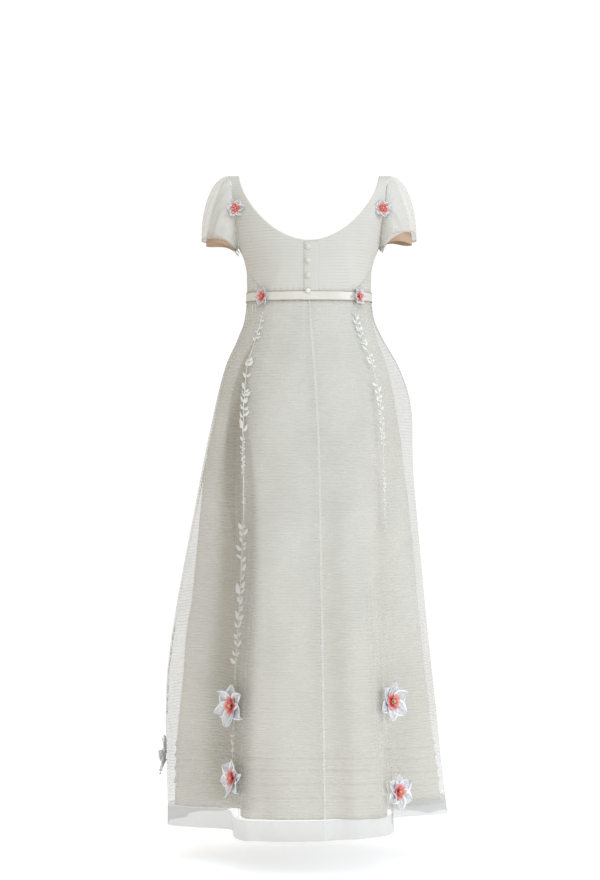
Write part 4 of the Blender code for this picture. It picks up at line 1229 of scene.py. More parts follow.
# %% The lining's three panels
TUCK_CLOTH = 0.030        # what one tuck takes up, folded double
LINING_THICK = 0.0008
LINING_PANELS = (
    ("lining_back_left", "centre", "front_left"),
    ("lining_front", "front_left", "front_right"),
    ("lining_back_right", "front_right", "centre"),
)
downs = lining_levels()
for node, first, last in LINING_PANELS:
    fine, _ = skirt_grid(lining, first, last, WAIST, LINING_HEM, 0.02, 0.0062)
    shares = (fine[-1] - fine[-1, 0]) / (fine[-1, -1] - fine[-1, 0])
    start, end = seam_angle(first, downs), seam_angle(last, downs)
    end = np.where(end <= start, end + 360.0, end)
    angle = start[:, None] + (end - start)[:, None] * shares[None, :]
    down = np.broadcast_to(downs[:, None], angle.shape)
    points = lining_cloth(angle, down)
    threads = np.stack([unrolled(angle, down), -down], axis=-1)
    piece = cloth(node + "_panel", points, threads, LINING_CLOTH, thickness=LINING_THICK)
    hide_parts(node)
    bottom = run_across(points[-1:])[0, -1]
    plain = area_of(points) + TUCK_CLOTH * len(TUCKS) * bottom
    print(node, points.shape[:2], "bottom %.3f area %.3f" % (bottom, plain))

# %% [markdown]
# ## The bodice
#
# The bodice is organza mounted on lining, sewn as one, so it is opaque.  The backs lie
# smooth; the front is gathered under the bust, and its gathers come round to the
# side-back seams just above the ribbon.

# %% Bodice grids
SEAM_LAP = 0.0003         # how far above the skirt's top edge the bodice ends


def cloth_down(girth):
    """Metres of cloth from the strap top to a place on the bodice."""
    return SHOULDER_ROUND * (np.minimum(girth, 1.0) * math.pi / 2 + np.maximum(girth - 1.0, 0.0))


def half_bodice(front, low, high, columns):
    """Angles and girths of the left half: rows from the waist up to the shoulder seam, and
    columns from the centre line to the side."""
    seam_down = np.linspace(WAIST - SEAM_LAP, ARMHOLE_DEPTH, low + 1)
    hole_angle, hole_girth = armhole(np.linspace(180.0, 359.999 if front else 0.0, high + 2)[1:])
    side_angle = np.concatenate([read(SIDE_SEAM, "angle", "down", seam_down), hole_angle])
    side_girth = np.concatenate([girth_at(seam_down), hole_girth])

    neck_drop = NECK_FRONT_DROP if front else NECK_BACK_DROP
    centre_girth = girth_at(np.linspace(WAIST - SEAM_LAP, neck_drop, low + 2))
    neck_angle, neck_girth = neckline(np.linspace(0.0, 1.0, high + 1)[1:], front)
    edge_angle = np.concatenate([np.full(low + 2, 180.0 if front else 0.0), neck_angle])
    edge_girth = np.concatenate([centre_girth, neck_girth])

    across = np.linspace(0.0, 1.0, columns + 1)[None, :]
    angle = edge_angle[:, None] * (1 - across) + side_angle[:, None] * across
    girth = edge_girth[:, None] * (1 - across) + side_girth[:, None] * across
    return angle, np.maximum(girth, 0.0035)


# %% Gathers in front, and drags behind
def bust_gathers(angle, girth, side):
    """The front's gathers: drawn in at the waist seam, and lightly at the neckline."""
    down = down_at(girth)
    from_front = np.abs(around_from(angle, 180.0))
    wander = 1.6 * soft_noise(side * angle / 14.0, down / 0.045, 81)
    low = ease(down, 0.170, 0.225) * np.cos(np.radians(from_front) * 44 + wander)
    high = (1 - ease(down, 0.128, 0.165)) * (1 - ease(from_front, 30.0, 48.0))
    high = high * np.cos(np.radians(from_front) * 70 + wander)
    return -0.0015 * ease(down, 0.165, 0.210) + 0.0014 * low + 0.0006 * high


def back_pulls(angle, girth, side):
    """Faint drags in the backs: from the armhole to the ribbon, and beside the placket."""
    down = down_at(girth)
    slant = side * angle - 26.0 - (down - 0.200) * 210.0
    drag = np.exp(-(slant / 5.0) ** 2) * ease(down, 0.165, 0.205) * (1 - ease(down, 0.235, 0.252))
    drawn = np.sin(np.radians(side * angle) * 64) * ease(down, 0.226, 0.248)
    return 0.0012 * drag * side + 0.00035 * drawn


def bodice_half(front, side, low, high, columns):
    """The finished points of half the bodice and its threads; side is 1 left, -1 right."""
    angle, girth = half_bodice(front, low, high, columns)
    plain = bodice(angle, girth)
    outward = bodice_outward(angle, girth)
    down = cloth_down(girth)
    weft = side * plain[..., 0] * (1 + 0.4 * np.abs(plain[..., 0]) / 0.15)
    height = crinkle(weft, down, seed=20) * 0.8
    height = height + (bust_gathers if front else back_pulls)(angle, girth, side)
    points = (plain + outward * height[..., None]) * np.array([side, 1.0, 1.0])
    return points, np.stack([weft, -down], axis=-1)


# %% The bodice front and backs
BODICE_THICK = 0.0009
halves = [bodice_half(True, side, 46, 84, 84) for side in (-1, 1)]
points = np.concatenate([halves[0][0][:, ::-1], halves[1][0]], axis=1)
threads = np.concatenate([halves[0][1][:, ::-1], halves[1][1]], axis=1)
middle = halves[0][0].shape[1] - 1
piece = cloth("bodice_front_cloth", points, threads, LINED, thickness=BODICE_THICK, back=LINING_CLOTH,
              open_at=middle)
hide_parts("bodice_front")
shown = area_of(halves[0][0]) + area_of(halves[1][0])
print("bodice front", points.shape[:2], "area %.4f" % shown)

for side, word in ((1, "left"), (-1, "right")):
    points, threads = bodice_half(False, side, 50, 88, 52)
    piece = cloth("bodice_back_%s_cloth" % word, points, threads, LINED, thickness=BODICE_THICK,
                  back=LINING_CLOTH)
    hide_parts("bodice_back_" + word)
    print("bodice back", word, "area %.4f" % area_of(points))
    round(area_of(points), 4)

# %% [markdown]
# ## Tubes, and round things
#
# Piping, stems and cords are all a round section carried along a path, so one helper makes
# them.  Buttons, beads and pearls are all a profile turned about an axis, so one helper
# makes those, placed by the axis and foot of the solid that each stands for.

# %% Helpers for tubes and turned pieces
def tube(path, radius, sides=8, closed=False):
    """Points and faces of a round tube along a path; radius may vary along it."""
    path = np.asarray(path, dtype=float)
    if closed:
        along = np.roll(path, -1, axis=0) - np.roll(path, 1, axis=0)
    else:
        along = np.gradient(path, axis=0)
    along = unit(along)
    away = path * np.array([1.0, 1.0, 0.0]) + 1e-6
    aside = unit(np.cross(along, away))
    rise = np.cross(aside, along)
    turn = np.linspace(0, 2 * math.pi, sides, endpoint=False)[None, :, None]
    radius = np.broadcast_to(np.asarray(radius, dtype=float), (len(path),))[:, None, None]
    ring = path[:, None] + radius * (aside[:, None] * np.cos(turn) + rise[:, None] * np.sin(turn))
    station = np.arange(len(path) if closed else len(path) - 1)[:, None]
    side = np.arange(sides)[None, :]
    after, beside = (station + 1) % len(path), (side + 1) % sides
    faces = np.stack([station * sides + side, after * sides + side, after * sides + beside,
                      station * sides + beside], axis=-1).reshape(-1, 4).tolist()
    if not closed:
        last = (len(path) - 1) * sides
        faces += [list(range(sides)), [last + side for side in reversed(range(sides))]]
    return ring.reshape(-1, 3), faces


# %% Turned pieces, and where they go
def level_and_up(normal):
    """A level direction and a rising one, square to a normal and to each other."""
    level = Vector((0.0, 0.0, 1.0)).cross(normal).normalized()
    return level, normal.cross(level)


def turned(profile, centre, normal, sides=28, petals=0, waviness=0.0):
    """Points and faces of a profile of (radius, height) pairs turned about an axis."""
    centre, normal = Vector(centre), Vector(normal).normalized()
    level, up = level_and_up(normal)
    points, faces = [tuple(centre + normal * profile[0][1])], []
    for reach, height in profile[1:]:
        for column in range(sides):
            turn = 2 * math.pi * column / sides
            wide = reach * (1 + waviness * math.cos(petals * turn))
            points.append(tuple(centre + (level * math.cos(turn) + up * math.sin(turn)) * wide
                                + normal * height))
    for column in range(sides):
        following = (column + 1) % sides
        faces.append([0, 1 + column, 1 + following])
        for ring in range(len(profile) - 2):
            near, far = 1 + ring * sides, 1 + (ring + 1) * sides
            faces.append([near + column, far + column, far + following, near + following])
    foot = 1 + (len(profile) - 2) * sides
    faces.append([foot + column for column in reversed(range(sides))])
    return np.array(points), faces


def joined(parts):
    """Several sets of points and faces as one."""
    points, faces, start = [], [], 0
    for some_points, some_faces in parts:
        points.append(np.asarray(some_points))
        faces += [[index + start for index in face] for face in some_faces]
        start += len(some_points)
    return np.concatenate(points), faces


def place_of(node):
    """Centre, outward direction and foot level of a flat round solid, from its own points."""
    corners = np.array([vertex.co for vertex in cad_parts[node].data.vertices])
    middle = corners.mean(axis=0)
    _, _, axes = np.linalg.svd(corners - middle)
    normal = axes[2] * np.sign(np.dot(axes[2], middle * np.array([1.0, 1.0, 0.0])))
    heights = (corners - middle) @ normal
    reach = np.linalg.norm((corners - middle) - heights[:, None] * normal, axis=-1).max()
    return Vector(middle + normal * heights.min()), Vector(normal), float(reach)


def add_turned(name, node, profile_of, finish, sides=28, petals=0, waviness=0.0):
    """A turned piece in place of a round solid."""
    foot, normal, reach = place_of(node)
    points, faces = turned(profile_of(reach), foot, normal, sides, petals, waviness)
    piece = add_mesh(name, points.tolist(), faces, finish=finish)
    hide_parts(node)
    return piece


# %% [markdown]
# ## The placket, the piping and the ribbon
#
# The back closes with an overlapping strip that carries covered buttons.  The neckline is
# piped, and the satin ribbon covers the waist seam, with a fine gold-beige cord sewn along
# each of its edges.

# %% The placket
PLACKET_EDGES = (-0.0190, 0.0110)
PLACKET_STITCHING = 0.0075
down = np.linspace(NECK_BACK_DROP + 0.0005, RIBBON_TOP - 0.0003, 62)[:, None]
across = np.linspace(*PLACKET_EDGES, 19)[None, :]
angle = oval_angle(across / read(BODICE, "half_width", "down", down))
girth = np.broadcast_to(girth_at(down), angle.shape)
outward = bodice_outward(angle, girth)
edge = np.minimum(ease(across, PLACKET_EDGES[0], -0.0170), 1 - ease(across, 0.0092, PLACKET_EDGES[1]))
height = 0.0006 + 0.0011 * edge + 0.6 * crinkle(across + 0 * down, down + 0 * across, seed=33)
height = height - 0.0005 * np.exp(-((across - PLACKET_STITCHING) / 0.0009) ** 2)
points = bodice(angle, girth) + outward * height[..., None]
threads = np.stack(np.broadcast_arrays(across, -down), axis=-1)
piece = cloth("placket_strip", points, threads, LINED, thickness=0.0008)
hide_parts("back_placket")
print("placket %.4f m2" % area_of(points))

# %% The piping round the neckline
PIPE = 0.0019             # the covered cord's radius
share = np.linspace(0.0, 1.0, 90)
back_angle, back_girth = neckline(share, False)
front_angle, front_girth = neckline(share[::-1], True)
angle = np.concatenate([back_angle, front_angle[1:]])
girth = np.concatenate([back_girth, front_girth[1:]])
outward = bodice_outward(angle, girth)
left = bodice(angle, girth) - outward * 0.0005
path = np.concatenate([left, (left * np.array([-1.0, 1.0, 1.0]))[-2:0:-1]])
inward = path.mean(axis=0) - path
path += 0.0016 * inward / np.linalg.norm(inward, axis=-1, keepdims=True)
run = np.arange(len(path))
points, faces = tube(path, PIPE * (1 + 0.05 * soft_noise(run / 3.1, 0.5, 41)), sides=10, closed=True)
piece = add_mesh("neck_piping", points.tolist(), faces, finish=PIPING)
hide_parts("neck_binding")
print("piping %.3f m round" % length_of(path, closed=True))


# %% The satin ribbon
def waist_face(angle, down):
    """The surface under the ribbon: the bodice above the waist seam, the skirt below."""
    above, below = bodice(angle, girth_at(down)), overlay(angle, np.maximum(down, WAIST))
    return np.where((down < WAIST)[..., None], above, below)


def level_out(points):
    """Level directions away from the gown's middle."""
    return unit(points * np.array([1.0, 1.0, 0.0]))


RIBBON_STAND = 0.0019     # the ribbon's face off the bodice
around = np.linspace(-180.0, 180.0, 361)[None, :-1]
down = np.linspace(RIBBON_TOP, RIBBON_BOTTOM, 11)[:, None]
angle, down = np.broadcast_arrays(around, down)
points = waist_face(angle, down)
bulge = 1 - ((down - (RIBBON_TOP + RIBBON_BOTTOM) / 2) / ((RIBBON_BOTTOM - RIBBON_TOP) / 2)) ** 2
puckers = soft_noise(angle / 4.0, down / 0.020, 45) * 0.00025
points = points + level_out(points) * (RIBBON_STAND + 0.0004 * bulge + puckers)[..., None]
threads = np.stack([np.radians(angle) * 0.115, -down], axis=-1)
piece = cloth("waist_ribbon_satin", points, threads, SATIN, thickness=0.0007, ring=True)
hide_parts("waist_ribbon")
girdle = length_of(points[5], closed=True)
print("ribbon %.3f m round" % girdle)

# %% The cords along the ribbon's edges
CORD = 0.0006             # the cord's radius
for word, edge_down in (("upper", RIBBON_TOP - 0.0004), ("lower", RIBBON_BOTTOM + 0.0004)):
    path = waist_face(around[0], np.full(360, edge_down))
    path = path + level_out(path) * 0.0020
    thick = CORD * (1 + 0.3 * soft_noise(np.arange(360) / 1.3, 0.5, 47))
    points, faces = tube(path, thick, sides=6, closed=True)
    piece = add_mesh("waist_cord_" + word, points.tolist(), faces, finish=GOLD_THREAD)
    print("%s cord %.3f m round" % (word, length_of(path, closed=True)))

# %% [markdown]
# ## The sleeves
#
# The sheer sleeve is gathered into the armhole and again at its hem, so soft pleats run
# between, and its hem ripples.  The lining tube ends a finger's width lower, in a plain
# band with two lines of stitching.

# %% The sleeves' pleats and cuffs
SLEEVE_PLEATS = table(
    "around  width  depth",
    (8.0, 9.0, 0.0022),
    (37.0, 7.0, 0.0026),
    (62.0, 8.0, 0.0020),
    (84.0, 6.0, 0.0028),
    (109.0, 8.0, 0.0018),
    (-18.0, 7.0, 0.0024),
    (-44.0, 9.0, 0.0020),
    (-71.0, 7.0, 0.0026),
    (-98.0, 8.0, 0.0018),
)
CUFF_LIFTS = table(       # how far each cuff is drawn up round the arm, as worn
    "around  left    right   left_band  right_band",
    (0.0, 0.0000, 0.0000, 0.0010, 0.0030),
    (40.0, 0.0020, 0.0160, 0.0020, 0.0040),
    (110.0, 0.0040, 0.0165, 0.0030, 0.0090),
    (150.0, 0.0030, 0.0160, 0.0030, 0.0130),
    (180.0, 0.0020, 0.0160, 0.0020, 0.0170),
    (225.0, 0.0090, 0.0210, 0.0030, 0.0150),
    (300.0, 0.0000, 0.0020, 0.0010, 0.0040),
    (360.0, 0.0000, 0.0000, 0.0010, 0.0030),
)


def drawn_up(points, around, share, column, inward=0.0045):
    """A sleeve's points with its cuff drawn up, and its inner end nearer the body."""
    outer = (1 + np.cos(np.radians(around))) / 2
    weight = ease(share, 0.50, 1.0)
    points = points.copy()
    points[..., 2] += weight * read(CUFF_LIFTS, column, "around", around)
    points[..., 0] -= weight * inward * (1 - outer) ** 3
    return points


# %% The sheer sleeve and its lining tube
def sheer_sleeve(around, share):
    """The sheer sleeve with its gathers, pleats, ripples and wavy hem."""
    plain = sleeve(around, share)
    middle = np.clip(np.sin(math.pi * share), 0, 1)
    swell = middle ** 0.7
    wave = (np.cos(np.radians(around) * SLEEVE_GATHERS) - 1) * swell
    depth = GATHER_DEPTH * (0.55 + 0.45 * np.cos(np.radians(around)))
    height = wave * depth
    for pleat in rows_of(SLEEVE_PLEATS):
        offset = around_from(around + 9.0 * share, pleat["around"]) / pleat["width"]
        height = height + pleat["depth"] * np.exp(-offset ** 2) * middle ** 0.5
    frill = np.sin(np.radians(around) * 22 + 2.0 * soft_noise(around / 40.0, 0.5, 51))
    height = height + 0.0006 * frill * ease(share, 0.88, 1.0) + 0.0006 * frill * (1 - ease(share, 0.03, 0.22))
    height = height + crinkle(np.radians(around) * 0.055, share * 0.135, seed=52) * ease(share, 0.0, 0.05)
    return plain + height[..., None] * normals(sleeve, around, share, inside=SLEEVE_MIDDLE)


def sleeve_tube(around, share):
    """The close lining tube."""
    return sleeve(around, share, inset=0.0014, cuff_inset=0.0085, drop=0.0105, fullness=0.40)


# %% The left and right sleeves
for side, word in ((1, "left"), (-1, "right")):
    flip = np.array([side, 1.0, 1.0])
    middle = (side * SLEEVE_MIDDLE[0], 0.0)
    around, share = np.meshgrid(np.linspace(0, 360, 181)[:-1], np.linspace(0, 1, 62))
    points = drawn_up(sheer_sleeve(around, share), around, share, word) * flip
    threads = np.stack([np.radians(around) * 0.055 * side, -share * 0.135], axis=-1)
    piece = cloth("sleeve_%s_organza" % word, points, threads, SHEER_SLEEVE, ring=True, inside=middle)
    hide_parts("sleeve_" + word)
    shown = area_of(np.concatenate([points, points[:, :1]], axis=1))
    print("sleeve area %.4f" % shown)

    hem = np.stack([points[-4] * (1 - step) + points[-1] * step for step in np.linspace(0, 1, 3)])
    hem = hem + level_out(hem - np.array([middle[0], 0.0, 0.0])) * 0.0004
    hem = np.concatenate([hem, hem[:, :1]], axis=1)
    threads = np.stack([run_across(hem), np.linspace(0, -0.005, 3)[:, None] + 0 * hem[..., 0]], axis=-1)
    piece = cloth("sleeve_%s_hem" % word, hem, threads, SHEER_DOUBLE, inside=middle)
    declare_strip(piece, hem, ["sleeve_%s_organza" % word])

    around, share = np.meshgrid(np.linspace(0, 360, 121)[:-1], np.linspace(0, 1, 50))
    plain = sleeve_tube(around, share)
    outward = normals(sleeve_tube, around, share, inside=SLEEVE_MIDDLE)
    stitched = np.exp(-((share - 0.955) / 0.010) ** 2) + np.exp(-((share - 0.905) / 0.010) ** 2)
    uneven = 0.0005 * soft_noise(around / 11.0, share / 0.12, 55) * ease(share, 0.05, 0.2)
    points = plain + outward * (uneven - 0.0004 * stitched)[..., None]
    points = drawn_up(points, around, share, word + "_band", 0.0110) * flip
    threads = np.stack([np.radians(around) * 0.050 * side, -share * TUBE_LENGTH], axis=-1)
    piece = cloth("sleeve_%s_band" % word, points, threads, BAND_CLOTH, thickness=0.0007, ring=True,
                  inside=middle)
    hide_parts("sleeve_lining_" + word)
    shown = area_of(np.concatenate([points, points[:, :1]], axis=1))
    print("sleeve lining area %.4f" % shown)

# %% [markdown]
# ## Leaf trims
#
# Each trim is a raised stem with pointed leaves in a laurel pattern, sewn along a seam.  A
# leaf is laid out flat in metres across and up the cloth and then mapped onto the skirt,
# so it lies on every fold and ripple under it.  Bare stretches of stem run between.

# %% Where the trims run
VINES = {
    "vine_back_left": ("back_left", ((0.300, 0.345), (0.385, 0.535), (0.550, 0.620), (0.668, 0.684),
                                     (0.735, 1.030), (1.130, 1.200))),
    "vine_back_right": ("back_right", ((0.290, 0.400), (0.430, 0.560), (0.620, 0.735))),
    "vine_side_left": ("front_left", ((0.300, 0.420), (0.560, 0.700), (0.930, 1.130))),
    "vine_side_right": ("front_right", ((0.290, 0.410), (0.540, 0.700), (0.900, 1.120))),
}
STEM = 0.0010
LEAF_LENGTH = 0.0170
LEAF_WIDTH = 0.0074
PAIR_PITCH = 0.0165
LEAF_SIZES = table(       # how large the leaves are down each trim; small where it is only a thread
    "down    left    right",
    (0.290, 0.45, 0.55),
    (0.380, 0.55, 0.65),
    (0.440, 1.00, 0.65),
    (0.535, 0.90, 0.50),
    (0.560, 0.35, 0.45),
    (0.700, 0.35, 0.35),
    (0.740, 0.90, 0.35),
    (0.800, 1.12, 0.40),
    (1.050, 1.05, 0.70),
    (1.200, 0.60, 0.70),
)


# %% A leaf
def thin_solid(rows, columns, reverse=False):
    """Faces of two equal grids, a face and its underside, closed round the rim."""
    spot = np.arange(rows * columns).reshape(rows, columns)
    quads = np.stack([spot[:-1, :-1], spot[:-1, 1:], spot[1:, 1:], spot[1:, :-1]], axis=-1).reshape(-1, 4)
    rim = np.concatenate([spot[0, :-1], spot[:-1, -1], spot[-1, :0:-1], spot[:0:-1, 0]])
    count, after = rows * columns, np.roll(rim, -1)
    sides = np.stack([after, rim, rim + count, after + count], axis=-1)
    if reverse:
        quads, sides = quads[:, [0, 3, 2, 1]], sides[:, [1, 0, 3, 2]]
    return quads.tolist() + (quads[:, ::-1] + count).tolist() + sides.tolist()


def on_skirt(seam, across, down, lift):
    """A place beside a seam, `across` metres from it, lifted off the overskirt."""
    middle = seam_angle(seam, down)
    radius = np.linalg.norm(overlay(middle, down)[..., :2], axis=-1)
    angle = middle + np.degrees(across / radius)
    return overlay_cloth(angle, down) + normals(overlay, angle, down) * np.asarray(lift)[..., None]


def leaf(seam, base_down, side, lean, length, width, flat=1.0):
    """One pointed leaf with a raised rib, as points and faces of a thin solid."""
    along = np.linspace(0, 1, 10)[:, None]
    over = np.linspace(-1, 1, 7)[None, :]
    half = width / 2 * np.sin(math.pi * along ** 0.85) ** 0.8 + 0.0002
    u, v = along * length, over * half + 0.0018 * np.sin(math.pi * along) * side
    across = side * (STEM * 0.5 + u * math.sin(lean)) + v * math.cos(lean)
    up = u * math.cos(lean) - v * math.sin(lean) * side
    dome = 0.0011 * (1 - over ** 2) * np.sin(math.pi * np.clip(along + 0.08, 0, 1)) + 0.0004
    dome = dome - 0.0005 * np.exp(-(over / 0.16) ** 2)
    top = on_skirt(seam, across, base_down - up, dome * flat + 0.0004)
    under = on_skirt(seam, across, base_down - up, 0.0003 + 0 * dome)
    faces = thin_solid(*top.shape[:2])
    if side < 0:
        faces = [face[::-1] for face in faces]
    return np.concatenate([top.reshape(-1, 3), under.reshape(-1, 3)]), faces


# %% The four trims
KEPT_LEAVES = 0.88        # the share of a trim's places that carry a leaf
for name, (seam, stretches) in VINES.items():
    draw = np.random.default_rng(len(name) * 7 + 3)
    run = np.arange(stretches[0][0] - 0.012, stretches[-1][1] + 0.006, 0.003)
    sway = 0.0009 * soft_noise(run / 0.014, 0.5, 91)
    flat = 0.5 if "side" in name else 1.0
    leafy = np.zeros_like(run)
    for start, end in stretches:
        started, ended = ease(run, start - 0.01, start + 0.01), ease(run, end - 0.01, end + 0.01)
        leafy = np.maximum(leafy, started * (1 - ended))
    side_sizes = LEAF_SIZES["left" if "left" in name else "right"]
    sizes = np.interp(run, LEAF_SIZES["down"], side_sizes)
    bright = 1 + 0.9 * np.exp(-((run - 0.620) / 0.090) ** 2) * ("left" in name)
    knots = 1 + 0.35 * soft_noise(run / 0.006, 1.5, 92)
    thick = STEM * flat * bright * (0.55 + 0.35 * leafy * sizes) * knots
    stem = on_skirt(seam, sway, run, thick * 0.7)
    parts = [tube(stem, thick, sides=7)]
    for start, end in stretches:
        base = end
        while base > start:
            scale = float(np.interp(base, LEAF_SIZES["down"], side_sizes))
            for side in (1, -1):
                size = scale * draw.uniform(0.65, 1.25)
                if draw.uniform() < KEPT_LEAVES:
                    foot = base + draw.uniform(-0.005, 0.005)
                    lean = math.radians(draw.uniform(22, 62))
                    width = LEAF_WIDTH * size * draw.uniform(0.8, 1.2)
                    parts.append(leaf(seam, foot, side, lean, LEAF_LENGTH * size, width, flat))
            base -= PAIR_PITCH * scale * draw.uniform(0.75, 1.15)
    points, faces = joined(parts)
    piece = add_mesh(name + "_leaves", points.tolist(), faces, finish=LEAF_STITCH)
    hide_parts(name)
    print(name, len(parts) - 1, "leaves on a stem of %.3f m" % length_of(stem))

# %% [markdown]
# ## Cloth flowers
#
# A flower has six broad pointed petals of stiffened white organza, each pleated along its
# middle and cupped, with a thick edge.  On them sits a small coral flower of two rings of
# round petals, and a gold bead holds the middle.

# %% Finishes of the flowers
def petal_cloth(name, colour, shade, edge_colour, cover, roughness):
    """Stiff glossy organza: pleats from the middle to the tip, and a thick pale edge."""
    bench = Bench(name, Sheen_Weight=0.25, Sheen_Roughness=0.3, Specular_IOR_Level=0.6)
    where = bench.threads()
    over, _ = bench.parts(where)
    streaks = bench.noise(bench.stretched(where, 4.0, 0.8), 1.0, 3.0)
    cloudy = bench.noise(bench.place(), 160.0, 2.0)
    body = bench.blend((streaks * 0.6 + cloudy * 0.4).between(0.36, 0.62), shade, colour)
    edge = over.size().between(0.66, 0.92)
    bench.feed(Base_Color=bench.blend(edge, body, edge_colour))
    bench.feed(Roughness=streaks * 0.3 + roughness)
    bench.feed(Alpha=(edge * 0.4 + streaks * 0.4 + (cover - 0.2)).between(0.0, 1.0))
    bench.relief(streaks, 0.00025)
    return bench.finish


def coral_cloth(name, base_colour, colour, tip_colour):
    """Petals deep at their foot and paler to the rim."""
    bench = Bench(name, Sheen_Weight=0.35, Sheen_Roughness=0.3, Specular_IOR_Level=0.6)
    where = bench.threads()
    _, along = bench.parts(where)
    streaks = bench.noise(bench.stretched(where, 5.0, 1.0), 1.0, 3.0)
    body = bench.blend((along + streaks * 0.4).between(0.35, 0.80), base_colour, colour)
    rim = (along * 0.7 + streaks * 0.6).between(0.70, 1.05)
    bench.feed(Base_Color=bench.blend(rim, body, tip_colour))
    bench.feed(Roughness=streaks * 0.3 + 0.3)
    bench.relief(streaks, 0.0003)
    return bench.finish


WHITE_PETAL = petal_cloth("white_petal", (0.80, 0.815, 0.83), (0.50, 0.53, 0.56), (0.90, 0.91, 0.92),
                          0.72, 0.25)
CORAL_PETAL = coral_cloth("coral_petal", (0.36, 0.035, 0.045), (0.66, 0.13, 0.13), (0.86, 0.46, 0.46))


def bead(name, colour, roughness, coat):
    """A glass or pearl bead with a slight unevenness."""
    bench = Bench(name, Coat_Weight=coat, Coat_Roughness=0.1, Specular_IOR_Level=0.6)
    cloudy = bench.noise(bench.place(), 700.0, 2.0)
    darker = tuple(value * 0.8 for value in colour)
    bench.feed(Base_Color=bench.blend(cloudy.between(0.3, 0.7), darker, colour))
    bench.feed(Roughness=cloudy * 0.1 + roughness)
    return bench.finish


GOLD_BEAD = bead("gold_bead", (0.85, 0.62, 0.22), 0.22, 0.3)
PEARL = bead("pearl", (0.86, 0.84, 0.78), 0.18, 0.8)
COVERED = plain_cloth("covered_button", (0.68, 0.67, 0.62), (0.60, 0.58, 0.52), 0.6, 0.0009, 0.00012)


# %% One petal
def petal(base, normal, turn, length, width, rise, cup, seed, reach, blunt=False):
    """One petal as top and underside grids: narrow, broad, then pointed, or blunt and round."""
    level, up = level_and_up(normal)
    outward = level * math.cos(turn) + up * math.sin(turn)
    aside = normal.cross(outward)
    along = np.linspace(0, 1, 15)[:, None]
    over = np.linspace(-1, 1, 11)[None, :]
    if blunt:
        half = width / 2 * np.sqrt(np.clip(1 - ((along - 0.58) / 0.46) ** 2, 0.02, 1.0))
    else:
        half = width / 2 * np.sin(math.pi * (0.10 + 0.90 * along) ** 0.95) ** 0.72 * (1 - 0.10 * along)
    half = np.maximum(half, 0.0004)
    out = reach + along * (length - reach)
    pleat = 0.030 * np.cos(over * math.pi * 2.5 + seed) * np.sin(math.pi * along)
    height = rise * along ** 1.6 + cup * over ** 2 * np.sin(math.pi * along ** 0.8) + pleat * width
    height = height + 0.09 * length * soft_noise(along * 2.3 + seed, over * 1.7 + seed, 95) * along
    height = height + 0.10 * length * math.sin(seed * 2.1) * over * along
    edge = np.exp(-((1 - np.abs(over)) / 0.10) ** 2) * 0.00035
    grids = []
    for face in (0.00035 + edge, -edge):
        place = (np.array(base)[None, None] + out[..., None] * np.array(outward)
                 + (over * half)[..., None] * np.array(aside) + (height + face)[..., None] * np.array(normal))
        grids.append(place)
    faces = thin_solid(*grids[0].shape[:2], reverse=True)
    threads = np.stack(np.broadcast_arrays(over, along), axis=-1).reshape(-1, 2)
    points = np.concatenate([grid.reshape(-1, 3) for grid in grids])
    return points, faces, np.concatenate([threads, threads])


# %% Where the hem flowers settle
def settled(foot, nearer, lower, stand):
    """A hem flower's foot where the overskirt draws in: `nearer` degrees to the back's middle,
    `lower` metres down and `stand` metres off the cloth."""
    angles = np.linspace(-180.0, 180.0, 1441)
    levels = np.full(angles.shape, -foot.z)
    found = angles[np.argmin(np.linalg.norm(overlay(angles, levels) - np.array(foot), axis=-1))]
    moved = found - nearer * np.sign(found)
    spot = overlay(np.array([moved]), np.array([lower - foot.z]))[0]
    out = np.array([spot[0], spot[1], 0.0])
    return Vector(spot + out / np.linalg.norm(out) * stand)


SETTLED = {               # degrees nearer the back's middle, metres lower, metres off the cloth
    "hem_flower_1": (3.6, 0.007, 0.0080),
    "hem_flower_2": (0.4, 0.006, 0.0087),
    "hem_flower_3": (3.6, 0.007, 0.0055),
    "hem_flower_4": (-0.9, 0.010, 0.0140),
}


